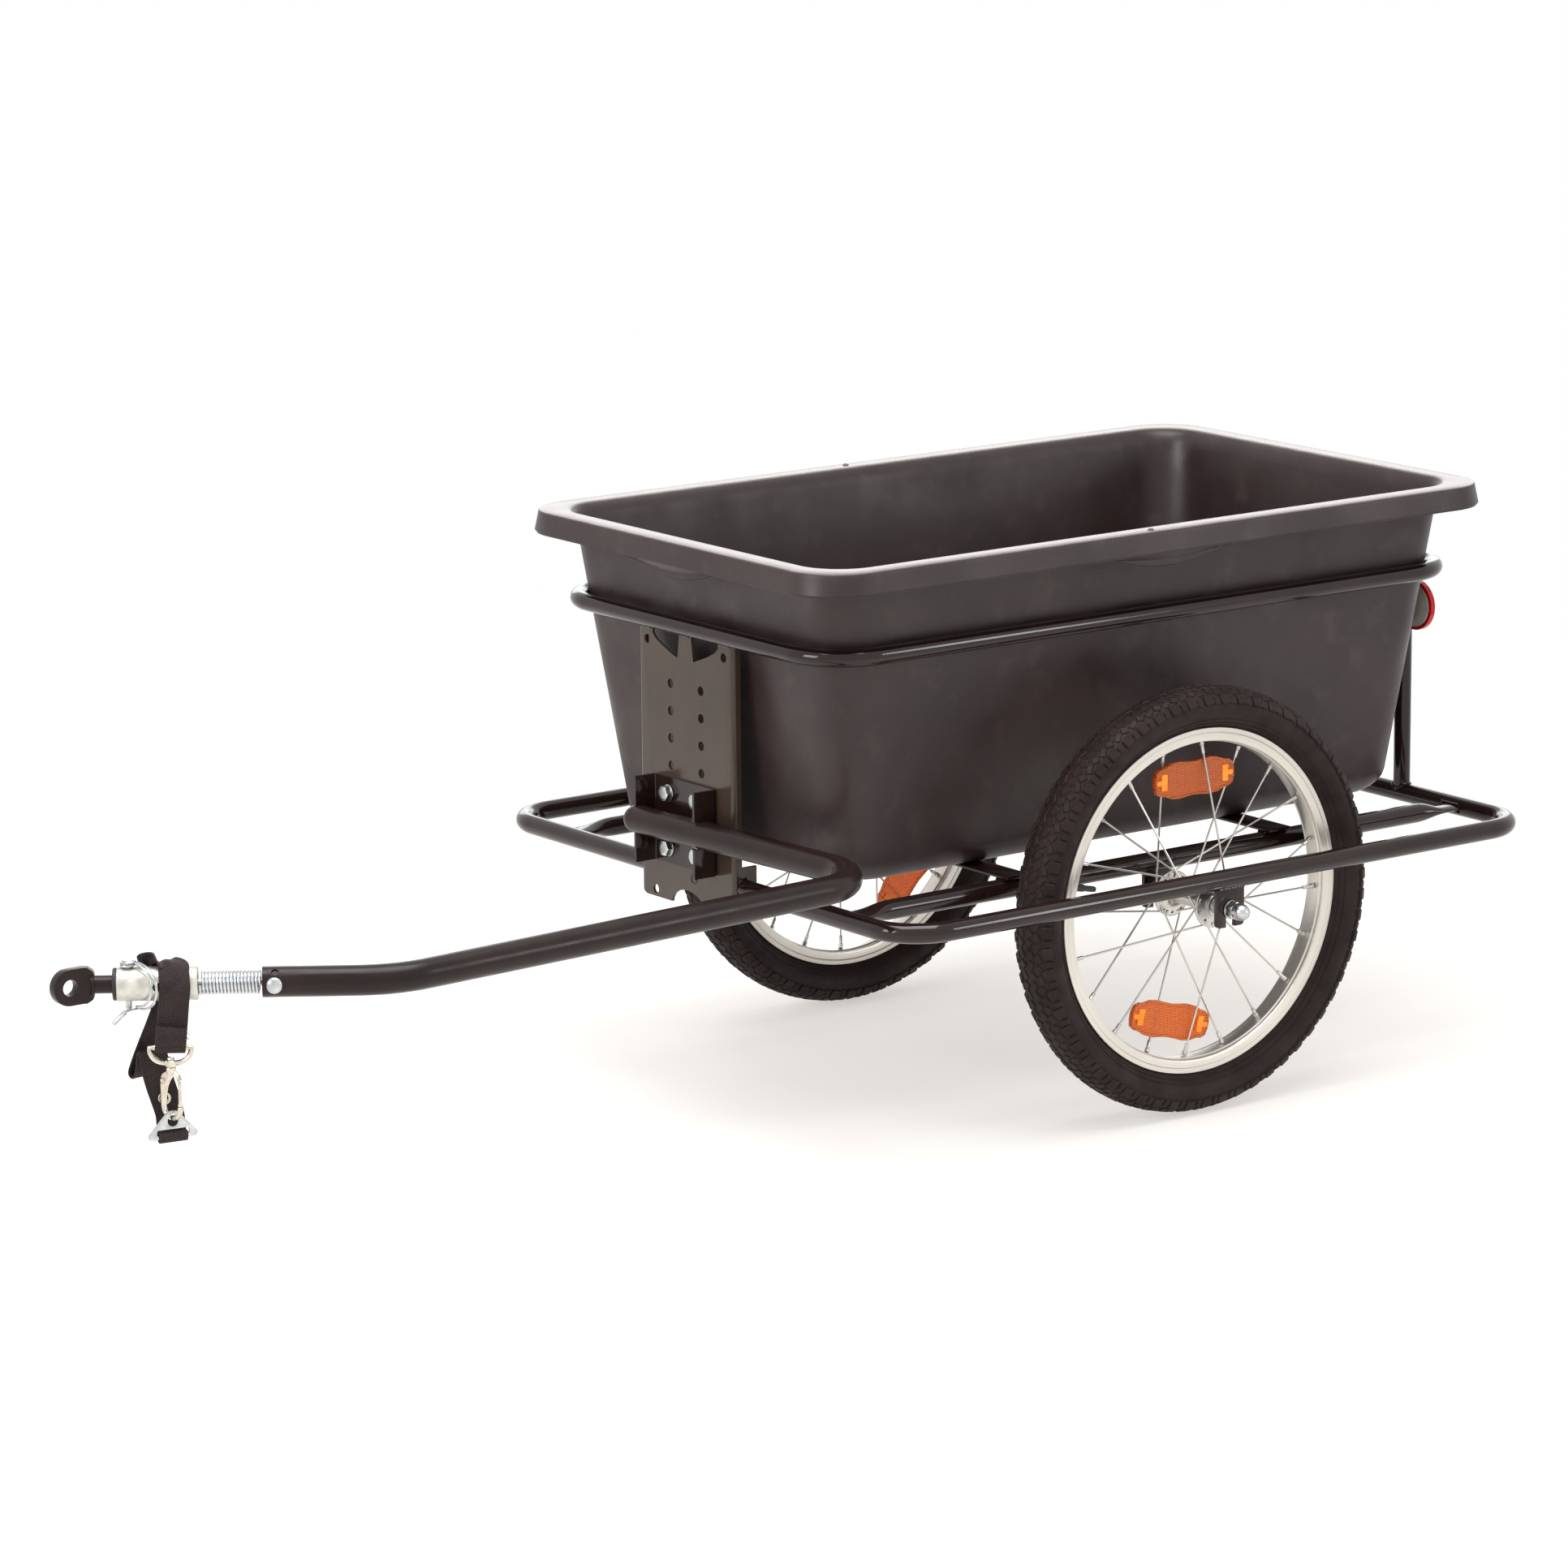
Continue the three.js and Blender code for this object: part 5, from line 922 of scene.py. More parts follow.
def strap_line():
    """The webbing's middle line as (point, turn of its width, how far it is bunched up, tilt of
    its width), from the sewn end to the link."""
    rows = []
    lean = (RING_X - STRAP_X) / RING_BAR

    def front(y, z):
        rows.append((Vector((STRAP_X - lean * z, y, z)), 0, 0, 0))
    for z in (-32, -38, -44):
        front(RING_PLANE + FOLD, z)
    for k in range(13):
        a = math.pi * k / 12
        front(RING_PLANE + FOLD * math.cos(a), -RING_BAR - FOLD * math.sin(a))
    for z in (-46, -36, -26, -15, -6):
        share = -z / RING_BAR
        y = WRAP + (RING_PLANE - FOLD - WRAP) * share
        front(y, z)
    for k in range(17):
        a = math.pi * k / 16
        bunch = math.sin(math.pi * min(1.0, max(0.0, (k - 7) / 9))) ** 2
        reach = WRAP + 4 * bunch
        rows.append((Vector((STRAP_X + 21 * bunch + 3 * k / 16, reach * math.cos(a),
                             reach * math.sin(a))), -30 * bunch, bunch, 0.25 * bunch))
    for x, y, z, turn, tilt in SLACK:
        rows.append((Vector((STRAP_X + STRAP_DROP * x, STRAP_DROP * y, STRAP_DROP * z)), turn, 0,
                     tilt))
    turn = math.radians(LINK_TURN)
    around = 2.3

    def near(out, up):
        rows.append((Vector((RING_X - out * math.sin(turn), RING_PLANE + out * math.cos(turn),
                             -STRAP_DROP - 1.7 + up)), LINK_TURN, 0, 0))
    near(-around * 1.3, 3.4)
    for k in range(9):
        a = math.pi * k / 8
        near(-around * math.cos(a), -around * math.sin(a))
    near(around, 4.3)
    near(0, 5.2)
    return rows


def smoothed(rows, gap=1.3):
    """The rows with a Catmull-Rom curve through them, a row about every gap millimetres."""
    out = []
    for k in range(len(rows) - 1):
        a, b, c, d = (rows[max(0, min(len(rows) - 1, k + j))] for j in (-1, 0, 1, 2))
        steps = max(1, round((c[0] - b[0]).length / gap))
        for j in range(steps):
            t = j / steps
            weights = (-t ** 3 + 2 * t * t - t, 3 * t ** 3 - 5 * t * t + 2,
                       -3 * t ** 3 + 4 * t * t + t, t ** 3 - t * t)
            point = sum((w * p[0] for w, p in zip(weights, (a, b, c, d))), Vector()) / 2
            out.append((point, *(b[j] + (c[j] - b[j]) * t for j in (1, 2, 3))))
    return out + [rows[-1]]


def ribbon(name, rows, width, thick):
    """Webbing along the rows. Where it is bunched, it is narrower and rucked into three folds."""
    half = width / 2 - 0.5
    across = [half - half * k / 5 for k in range(11)]
    section = [(a, thick / 2) for a in across] + [(-width / 2, 0)]
    section += [(-a, -thick / 2) for a in across] + [(width / 2, 0)]
    rings, along_mm = [], [0.0]
    for k, (point, turn, bunch, tilt) in enumerate(rows):
        way = (rows[min(k + 1, len(rows) - 1)][0] - rows[max(k - 1, 0)][0]).normalized()
        wide = Vector((math.cos(math.radians(turn)), math.sin(math.radians(turn)), tilt))
        wide = (wide - way * wide.dot(way)).normalized()
        face = way.cross(wide)
        ring = []
        for a, b in section:
            ruck = 2.6 * bunch * math.sin(3 * math.pi * a / width + 0.35 * k)
            ring.append(arm_point(*(point + wide * a * (1 - 0.22 * bunch) + face * (b - ruck))))
        rings.append(ring)
        if k:
            along_mm.append(along_mm[-1] + (point - rows[k - 1][0]).length)
    count = len(section)
    rings = [[tuple(sum(c) / count for c in zip(*rings[0]))] * count] + rings
    rings += [[tuple(sum(c) / count for c in zip(*rings[-1]))] * count]
    along_mm = [0.0] + along_mm + [along_mm[-1]]
    round_mm = [0.0]
    for first, last in zip(section, section[1:] + section[:1]):
        round_mm.append(round_mm[-1] + math.dist(first, last))
    obj = woven(name, rings)
    for spot in obj.data.uv_layers.active.data:
        column, row = round(spot.uv.x * count), round(spot.uv.y * (len(rings) - 1))
        spot.uv = (round_mm[column], along_mm[row])
    return obj


# Webbing: flat black yarn in a basket weave, read off the strap's own length and width, so that
# it catches the light in rows of small pips, their tops painted lighter as a painted highlight.
# The real pips are 1.6 mm; 2.5 mm is what shows.
PIP = 2.5


def webbing_material():
    material = surface("polypropylene_webbing", ("#1a0f10", "#241818"), (0.5, 0.7), size=18,
                       bump=0, shine=0.3)
    tree = material.node_tree
    shader = tree.nodes["Principled BSDF"]
    base = shader.inputs["Base Color"].links[0].from_socket
    source = add_node(tree, "UVMap")
    split = add_node(tree, "SeparateXYZ", [("Vector", source.outputs["UV"])])
    waves = []
    for axis in ("X", "Y"):
        phase = add_node(tree, "Math", [(0, split.outputs[axis])], operation="MULTIPLY")
        phase.inputs[1].default_value = 2 * math.pi / PIP
        waves.append(add_node(tree, "Math", [(0, phase.outputs[0])], operation="SINE"))
    pips = add_node(tree, "Math", [(k, wave.outputs[0]) for k, wave in enumerate(waves)],
                    operation="MULTIPLY")
    raised = add_node(tree, "Bump", [("Height", pips.outputs[0])], Strength=1.0, Distance=0.5 * MM)
    tree.links.new(raised.outputs["Normal"], shader.inputs["Normal"])
    # The pips' tops are painted lighter: a painted highlight where the raised yarn catches the
    # light.
    pip_highlight_share = add_node(tree, "MapRange", [("Value", pips.outputs[0])], From_Min=0.25, From_Max=1,
                    To_Max=0.8)
    painted_pip_highlight = add_node(tree, "Mix", [("Factor", pip_highlight_share.outputs["Result"]), ("A", base)],
                       data_type="RGBA", B=linear("#54403f"))
    tree.links.new(painted_pip_highlight.outputs["Result"], shader.inputs["Base Color"])
    return material


WEBBING = webbing_material()
line = smoothed(strap_line())
strap = ribbon("safety_strap", line, STRAP_WIDTH, STRAP_THICK)
settle(strap, "coupling", "webbing", WEBBING, "safety_strap", angle=50)


STITCH_COUNT, STITCH_REACH, STITCH_SHARE, THREAD_RADIUS = 9, 10.5, 0.7, 0.28


def stitch_row(name, z, y):
    """Short thread stitches in a row across the webbing's face, in the arm's frame."""
    lean = (RING_X - STRAP_X) / RING_BAR
    pitch = 2 * STITCH_REACH / STITCH_COUNT
    threads = []
    for k in range(STITCH_COUNT):
        a = pitch * k - STITCH_REACH
        b = a + pitch * STITCH_SHARE
        threads.append(wire("thread", [arm_point(STRAP_X - lean * z + a, y, z),
                                       arm_point(STRAP_X - lean * z + (a + b) / 2, y + 0.35, z),
                                       arm_point(STRAP_X - lean * z + b, y, z)],
                            THREAD_RADIUS, fine=1))
    return joined(name, *threads)


# Sewing thread: black and matt, so that the stitches show by their shadows only.
THREAD = surface("sewing_thread", ("#0f0d0c", "#1a1716"), (0.5, 0.7), size=5, bump=0)
face = RING_PLANE + FOLD + STRAP_THICK / 2
stitches = joined("strap_stitches", *[stitch_row("stitches", z, face) for z in (-40.5, -50)])
loose = [wire("loose_thread", [arm_point(x, face - 0.6 + dy * 0.4, z + dz) for x, dy, dz in run],
              0.22, fine=1)
         for z, run in ((-38.5, ((63, 0, 0), (60.4, 1, 1.6), (58.8, 2, 0.4))),
                        (-40, ((63, 0, 0), (60.6, -1, -1.2), (59.4, 0, -3))),
                        (-41, ((63, 0, 0), (61, 1, -0.6), (59.6, 1, -1.4))))]
stitches = settle(joined("strap_stitches", stitches, *loose), "coupling", "webbing", THREAD)

# ---------------------------------------------------------------------------------------------
# Snap hook: a nickel plated D-ring with a boss, a swivelling cast hook with a riveted wire gate,
# an eyelet in the webbing, and the zinc triangle link that the hook holds.
# ---------------------------------------------------------------------------------------------
# Nickel plate: a warm, nearly mirror bright skin over the slight waves of the casting.
NICKEL = surface("nickel_plate", ("#c9c0b0", "#ddd6c8"), (0.12, 0.24), metal=1.0, size=8, fine=1,
                 bump=0.01)
FACING = ARM @ Matrix.Translation(at(RING_X, RING_PLANE, 0))
HOOK = FACING @ Matrix.Rotation(math.radians(135), 4, "Z")
RING_HALF_WIDTH, RING_DEPTH = 16.8, 13


def hook_points(points, place=HOOK):
    return [tuple(c / MM for c in place @ at(*point)) for point in points]


bow_of_ring = [(RING_HALF_WIDTH * math.copysign(abs(math.cos(a)) ** 0.75, math.cos(a)), 0,
                -RING_BAR - RING_DEPTH * math.sin(a) ** 0.85)
               for a in [math.pi * k / 28 for k in range(29)]]
bar = [(x, 0, -RING_BAR) for x in (-13, 0, 13)]
d_ring = wire("strap_ring", hook_points(bow_of_ring + bar, FACING), 2.3, closed=True, fine=5)
boss = turned("boss",
              [(2.3, -66), (3.9, -66), (4.6, -65.3), (4.6, -60.8), (3.9, -60), (2.3, -60)], FACING)
settle(joined("strap_ring", d_ring, boss), "coupling", "nickel", NICKEL, "strap_ring")

stem = turned("stem", [(0, -72.5), (3.1, -71.5), (4.2, -69.3), (4.2, -67), (3.6, -66.3), (2, -66.3),
                       (2, -59.7), (3.1, -59.7), (3.2, -59), (2.6, -57.9), (0, -57.9)], HOOK)
HOOK_ROUND = -99.3
blade = [(1.5, -68.5), (-4, -69.5), (-9.5, -72.6), (-12.4, -77), (-12.6, -84), (-11.9, -99.3)]
blade += arc_points(0, HOOK_ROUND, 11.9, 192, 348, 13)
blade += [(11.8, -98.6), (10, -97.8), (8.2, -98.6)]
blade += arc_points(0, HOOK_ROUND, 8.2, -16, -172, 13)
blade += [(-7.4, -92), (-5.4, -84), (-2.6, -78.4), (1.6, -73.6)]
body = pressed("snap_hook", [(x, -1.9, z) for x, z in blade], (0, 3.8, 0))
moved(body, HOOK)
bevelled(body, 1.2, 3, 30)
lug = wire("lug", hook_points([(0, 0, -69.5), (5, 0, -70.2), (8.6, 0, -73), (10, 0, -76.2)]), 1.9,
           fine=4)
rivet = turned("rivet", [(0, -3.1), (1.7, -3.1), (2.4, -2.4), (2.4, 2.4), (1.7, 3.1), (0, 3.1)],
               HOOK @ Matrix.Translation(at(-8.4, 0, -78.5))
               @ Matrix.Rotation(math.pi / 2, 4, "X"), 20)
settle(joined("snap_hook", body, stem, lug, rivet), "snap_hook", "nickel", NICKEL, "snap_hook")
gate = wire("hook_gate", hook_points([(10, 0, -97.6), (10, 0, -76.9)]), 1.4, fine=4)
bulb = turned("bulb",
              [(0, -97.9), (1.4, -97.9), (2.0, -96.9), (1.9, -95.6), (1.2, -94.8), (0, -94.8)],
              HOOK @ Matrix.Translation(at(10, 0, 0)), 20)
settle(joined("hook_gate", gate, bulb), "hook_gate", "nickel", NICKEL, "hook_gate")

middle = Vector([(a + b) / 2 for a, b in zip(*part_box("strap_eyelet"))]) / MM
EYELET_TURN, EYELET_TILT = math.radians(21), 0.09
facing = tuple(ARM.to_3x3() @ Vector((-math.sin(EYELET_TURN), math.cos(EYELET_TURN), EYELET_TILT)))
eyelet = turned("strap_eyelet", [(3, -0.5), (5.2, -0.5), (5.5, -0.1), (5.2, 0.35), (4.2, 0.5),
                                 (3.3, 0.3), (3, 0)], along(middle, facing), 40)
settle(eyelet, "coupling", "nickel", NICKEL, "strap_eyelet")


def make_link():
    top, crown = 13, 8.6
    outline = [(-19.5, -1.7), (19.5, -1.7), (21, -0.8), (21.6, 0.8), (21, 2.8)]
    outline += arc_points(0, top, crown, 36, 144, 9)
    outline += [(-21, 2.8), (-21.6, 0.8), (-21, -0.8)]
    place = (FACING @ Matrix.Translation(at(0, 0, -STRAP_DROP))
             @ Matrix.Rotation(math.radians(LINK_TURN), 4, "Z"))
    link = pressed("triangle_link", [(x, -1, z) for x, z in outline], (0, 2, 0))
    slot = box("slot", (-14, -5, 1.7), (14, 5, 6.2))
    carved(link, bevelled(slot, 1, 2), pin("hole", (0, -5, top), (0, 5, top), 4.6, 40))
    return moved(bevelled(cleaned(link), 0.45, 2, 40), place)


settle(make_link(), "coupling", "zinc", ZINC, "triangle_link")

# ---------------------------------------------------------------------------------------------
# Wheels: sixteen inch, each with a knobbly rubber tyre, an inner tube, a polished alloy rim,
# twenty crossed spokes with nipples, a pressed steel hub and two amber spoke reflectors.
# Everything is made once about the left wheel's middle, with Y as the axle, and copied right.
# ---------------------------------------------------------------------------------------------
AXLE_X, WHEEL_Y, WHEEL_Z = -369.989, 259.5, 196
LEFT = Matrix.Translation(at(AXLE_X, WHEEL_Y, WHEEL_Z))
RIGHT_MIDDLE = Matrix.Translation(at(AXLE_X, -WHEEL_Y, WHEEL_Z))
ABOUT = Matrix.Rotation(math.pi, 4, "Z")
RIGHT_AXLE = RIGHT_MIDDLE @ ABOUT
RIGHT = RIGHT_MIDDLE @ Matrix.Rotation(math.radians(30), 4, "Y") @ ABOUT
Y_UP = Matrix.Rotation(-math.pi / 2, 4, "X")


def both_sides(make, name, body, slot, material, right=RIGHT, angle=SOFT_ANGLE, solid=True):
    """A piece made about the wheel's middle, put on the left and copied to the right. It stands
    for the solid of its name, if there is one."""
    obj = make()
    other = copied(obj, name + "_right", right)
    moved(obj, LEFT)
    obj.name = name + "_left"
    for side, piece in (("left", obj), ("right", other)):
        where = body if body == "frame" else side + "_wheel"
        settle(piece, where, slot, material, *([name + "_" + side] if solid else []), angle=angle)


TYRE_HALF = [(153.2, 10.0), (158.6, 10.0), (160.9, 11.8), (164, 15.6), (168, 19.4), (173, 22.2),
             (178, 22.9), (182.8, 22.0), (187.2, 19.6), (190.6, 15.4), (192.8, 10.4), (194, 5),
             (194.3, 0)]
TYRE_INNER = [(189.3, 0), (187.4, 10), (178, 18.9), (168, 15.8), (160, 9.8), (153.2, 6.5)]
KNOB_PITCHES = 60


def knob(along_mm, across_mm, high_mm, place):
    obj = box("knob", (-along_mm / 2, -across_mm / 2, -1.2), (along_mm / 2, across_mm / 2, high_mm))
    bevelled(obj, 0.9, 1, 60)
    return moved(obj, place)


def make_tyre():
    profile = TYRE_HALF + [(r, -y) for r, y in TYRE_HALF[-2::-1]]
    profile += [(r, -y) for r, y in TYRE_INNER[::-1]] + TYRE_INNER[1:]
    tyre = turned("tyre", profile, Y_UP, 144)
    knobs = []
    # One pitch: shoulder lugs long and short in turn on both sides, and slanted crown blocks.
    plan = [(0.00, 20.0, 185.6, 56, 10.6, 9.5, 2.1, 6), (0.52, 20.6, 184.4, 62, 6.6, 7.0, 1.9, -5),
            (0.24, 13.6, 190.8, 30, 9.2, 6.2, 1.7, 24), (0.74, 12.8, 191.4, 28, 7.4, 6.6, 1.6, -26),
            (0.08, 5.6, 193.6, 9, 8.6, 8.0, 1.4, 32), (0.58, 4.8, 193.7, 8, 9.4, 7.0, 1.3, -34)]
    for sign in (1, -1):
        for offset, y, radius, tilt, long, wide, high, skew in plan:
            shift = 0.0 if sign > 0 else 0.5
            place = (Matrix.Rotation(2 * math.pi * (offset + shift) / KNOB_PITCHES, 4, "Y")
                     @ Matrix.Translation(at(0, sign * y, radius))
                     @ Matrix.Rotation(math.radians(-sign * tilt), 4, "X")
                     @ Matrix.Rotation(math.radians(sign * skew), 4, "Z"))
            knobs.append(knob(long, wide, high, place))
    pitch = joined("knobs", *knobs)
    copies = [copied(pitch, "knobs", Matrix.Rotation(2 * math.pi * k / KNOB_PITCHES, 4, "Y"))
              for k in range(1, KNOB_PITCHES)]
    lines = []
    for sign in (1, -1):
        for radius, y in ((163.2, 14.9), (167, 18.8)):
            run = circle_points((0, sign * y, 0), radius, (0, 1, 0), 144)
            lines.append(wire("line", run, 0.5, True, 1))
    return joined("tyre", tyre, pitch, *copies, *lines)


# Tyre rubber: matt black, a little dusty, with the dull sheen of moulded rubber.
RUBBER = surface("tyre_rubber", ("#1b1110", "#261a17"), (0.5, 0.7), size=25, fine=0.8, bump=0.05,
                 shine=0.2)
# Butyl rubber: black, smoother than the tyre; it hides between tyre and rim.
TUBE_RUBBER = surface("butyl_rubber", ("#1a1818", "#242121"), (0.4, 0.6), size=20, fine=1,
                      bump=0.02)
both_sides(make_tyre, "tyre", "wheel", "tyre", RUBBER)

VALVE_TURN = Matrix.Rotation(-math.radians(12.6), 4, "Y") @ Matrix.Rotation(math.pi / 2, 4, "Y")


def make_inner_tube():
    ring = [(172 + 14.5 * x, 13.5 * y) for x, y in arc_points(0, 0, 1, 0, 337.5, 15)]
    tube = turned("inner_tube", ring, Y_UP, 72)
    valve = turned("valve", [(0, 159), (3.4, 159), (3.4, 131), (2.7, 130), (2.7, 120),
                             (2.4, 117.2), (0, 117)], VALVE_TURN, 20)
    return joined("inner_tube", tube, valve)


both_sides(make_inner_tube, "inner_tube", "wheel", "inner_tube", TUBE_RUBBER)


# Polished alloy: bright and warm, with the fine rings that turning leaves round the rim. The
# real rings are finer than 1 mm; they are drawn 2 mm apart so that they show.
RING_SPACING = 2


def alloy_material():
    material = surface("polished_alloy", ("#cfcac1", "#dcd7cf"), (0.28, 0.36), metal=0.82,
                       size=120, bump=0)
    tree = material.node_tree
    source = add_node(tree, "TexCoord")
    centred = add_node(tree, "Mapping", [("Vector", source.outputs["Object"])],
                       Location=(-AXLE_X * MM, 0, -WHEEL_Z * MM), Scale=(1, 0, 1))
    radius = add_node(tree, "VectorMath", [("Vector", centred.outputs["Vector"])],
                      operation="LENGTH")
    phase = add_node(tree, "Math", [(0, radius.outputs["Value"])], operation="MULTIPLY")
    phase.inputs[1].default_value = 2 * math.pi / (RING_SPACING * MM)
    rings = add_node(tree, "Math", [(0, phase.outputs[0])], operation="SINE")
    raised = add_node(tree, "Bump", [("Height", rings.outputs[0])], Strength=1.0,
                      Distance=0.025 * MM)
    tree.links.new(raised.outputs["Normal"], tree.nodes["Principled BSDF"].inputs["Normal"])
    return material


ALLOY = alloy_material()


def make_rim():
    half = [(152.2, 10.2), (157.4, 10.2), (158.5, 10.6), (158.8, 11.2), (158.3, 11.9),
            (157.2, 12.0), (154.6, 11.9), (154.0, 11.5), (153.4, 11.9), (148.2, 11.7),
            (146.8, 11.2), (146.2, 10.2), (146.6, 8.6), (146.4, 7.6), (145.2, 6.6), (144.9, 4),
            (144.8, 0)]
    inner = [(150.6, 0), (150.6, 4.2), (152.2, 9.2)]
    profile = half + [(r, -y) for r, y in half[-2::-1]]
    profile += [(r, -y) for r, y in inner[::-1]] + inner[1:]
    return turned("rim", profile, Y_UP, 144)


both_sides(make_rim, "rim", "wheel", "rim_alloy", ALLOY, angle=25)

SPOKE_COUNT, SPOKE_PHASE, SPOKE_SEAT, SPOKE_RADIUS = 20, 3.6, 143.45, 0.95
SPOKE_STEP, SPOKE_CROSSING = 360 / SPOKE_COUNT, 72
FLANGE_Y, FLANGE_HOLES, ELBOWS = 28.5, 16.8, 17.5


def make_hub():
    half = [(5.6, 34), (8.6, 34), (9.6, 33.6), (10, 32.6), (10, 30.2), (13, 30.0), (20.2, 30.0),
            (21, 29.4), (21, 27.6), (20.2, 27), (15, 27), (12, 26.2), (9.6, 24), (8.2, 21),
            (7.5, 17), (7.5, 0)]
    hub = turned("hub", half + [(r, -y) for r, y in half[-2::-1]], Y_UP, 60)
    bores = []
    for k in range(10):
        for flange in (1, -1):
            a = math.radians(SPOKE_PHASE + SPOKE_STEP * (2 * k + 1))
            x, z = FLANGE_HOLES * math.cos(a), FLANGE_HOLES * math.sin(a)
            bores.append(pin("bore", (x, flange * 25, z), (x, flange * 32, z), 1.7, 12))
    carved(hub, *bores)
    pieces = [hub]
    for k in range(SPOKE_COUNT):
        flange = -1 if k % 2 == 0 else 1
        lean = 1 if ((k + 3) // 2) % 2 == 0 else -1
        rim_angle = math.radians(SPOKE_PHASE + SPOKE_STEP * k)
        hub_angle = rim_angle + lean * math.radians(SPOKE_CROSSING)
        y = flange * FLANGE_Y + lean * 2.1
        start = Vector((ELBOWS * math.cos(hub_angle), y, ELBOWS * math.sin(hub_angle)))
        end = Vector((SPOKE_SEAT * math.cos(rim_angle), 0, SPOKE_SEAT * math.sin(rim_angle)))
        way = (end - start).normalized()
        through = Vector((start.x, y - lean * 4.0, start.z))
        path = [through, start - Vector((0, lean * 0.7, 0)), start + way * 1.2, end - way * 9]
        pieces.append(wire("spoke", path, SPOKE_RADIUS, fine=2))
        pieces.append(turned("spoke_head", [(0, -0.9), (1.6, -0.7), (1.8, 0), (0, 0.3)],
                             along(through, (0, lean, 0)), 12))
        pieces.append(turned("nipple", [(0, 0), (1.5, 0), (1.7, 0.4), (1.7, 7.4), (2.3, 8.2),
                                        (2.3, 11.2), (0, 11.2)], along(end - way * 10.4, way), 14))
    return joined("hub_with_spokes", *pieces)


# Bright drawn and pressed steel: hub and spokes, clean and slightly warm.
STEEL = surface("bright_steel", ("#bcbab6", "#cfccc6"), (0.22, 0.32), metal=1.0, size=60, bump=0)
both_sides(make_hub, "hub_with_spokes", "wheel", "wheel_metal", STEEL)


# Acrylic lenses: a clear skin over rows of small prisms, which break the light into a fine grid.
PRISM = 2.4


def lens_material(name, colours, clear):
    material = surface(name, colours, (0.08, 0.14), size=16, bump=0, coat=0.08, shine=0.16)
    tree = material.node_tree
    shader = tree.nodes["Principled BSDF"]
    shader.inputs["Transmission Weight"].default_value = clear
    source = add_node(tree, "TexCoord")
    scaled = add_node(tree, "Mapping", [("Vector", source.outputs["Object"])],
                      Scale=[1000 / PRISM] * 3)
    cells = add_node(tree, "TexVoronoi", [("Vector", scaled.outputs["Vector"])], Scale=1.0,
                     Randomness=0.12)
    raised = add_node(tree, "Bump", [("Height", cells.outputs["Distance"])], Strength=1.0,
                      Distance=0.7 * MM)
    tree.links.new(raised.outputs["Normal"], shader.inputs["Normal"])
    # The colour darkens towards each prism's edge: painted shading of the prism grid.
    shade = add_node(tree, "MapRange", [("Value", cells.outputs["Distance"])], From_Min=0.15,
                     From_Max=0.55)
    tone = add_node(tree, "Mix", [("Factor", shade.outputs["Result"])], data_type="RGBA",
                    A=linear(colours[0]), B=linear(colours[1]))
    tree.links.new(tone.outputs["Result"], shader.inputs["Base Color"])
    return material


AMBER = lens_material("amber_acrylic", ("#ff9420", "#d8560a"), 0.6)
# The clips are plain amber mouldings, paler than the lens and without its depth.
AMBER_CLIP = surface("amber_moulding", ("#ff8420", "#ff9a34"), (0.2, 0.3), size=10, fine=1,
                     bump=0.01, shine=0.2)
REFLECTOR_REACH = 112


def reflector_place(angle):
    turn = Matrix.Rotation(math.radians(90 - angle), 4, "Y")
    return Matrix.Translation(turn @ at(0, 0, REFLECTOR_REACH)) @ turn


def make_reflector(angle):
    outline = [(46, 3.5), (44.4, 9.6), (39.5, 12.6), (34, 13.2), (27, 16), (18, 17), (8, 15.9),
               (0, 15.3)]
    outline += [(-x, z) for x, z in outline[-2::-1]]
    outline += [(x, -z) for x, z in outline[::-1]]
    place = reflector_place(angle)
    lens = pressed("lens", [(x, -2.6, z) for x, z in outline], (0, 5.2, 0))
    alone(lens)
    bpy.ops.object.mode_set(mode="EDIT")
    bpy.ops.mesh.select_mode(type="FACE")
    bpy.ops.mesh.select_all(action="DESELECT")
    bpy.ops.object.mode_set(mode="OBJECT")
    for face in lens.data.polygons:
        face.select = abs(face.normal.y) > 0.9
    bpy.ops.object.mode_set(mode="EDIT")
    bpy.ops.mesh.inset(thickness=2.2 * MM, depth=0)
    bpy.ops.mesh.inset(thickness=0.6 * MM, depth=-0.7 * MM)
    bpy.ops.object.mode_set(mode="OBJECT")
    return moved(bevelled(lens, 0.7, 2, 50), place)


def make_clips(angle):
    clips = []
    for side in (1, -1):
        for name, x, half_x, half_y, half_z, edge in (("clip", 35.5, 3.4, 3, 7.6, 0.9),
                                                      ("tongue", 41, 3.5, 2.9, 2.4, 0.8)):
            clip = box(name, (side * x - half_x, -half_y, -half_z),
                       (side * x + half_x, half_y, half_z))
            clips.append(bevelled(clip, edge, 2))
    return moved(joined("clips", *clips), reflector_place(angle))


for index, angle in ((1, 90), (2, -76)):
    both_sides(lambda: make_reflector(angle), "spoke_reflector_%d" % index, "wheel", "amber_lens",
               AMBER)
    both_sides(lambda: make_clips(angle), "reflector_clips_%d" % index, "wheel", "amber_lens",
               AMBER_CLIP, solid=False)

# ---------------------------------------------------------------------------------------------
# Axles: solid steel, 9.5 mm, in slotted plates welded under the loop and the rails, with cones and
# locknuts at the hub, and a washer, a hexagon nut and a dome nut outside; the dome nut is chromed,
# but here it is given the zinc finish like the rest.
# ---------------------------------------------------------------------------------------------
FORK_TOP = LOOP_Z - WHEEL_Z
FORK_HALF, FORK_FOOT, FORK_CORNER, SLOT_RADIUS = 16, -16, 4, 5.1
FORK_NEAR, FORK_FAR, TUBE_FROM_WHEEL = 48.5, 52.5, 47.5


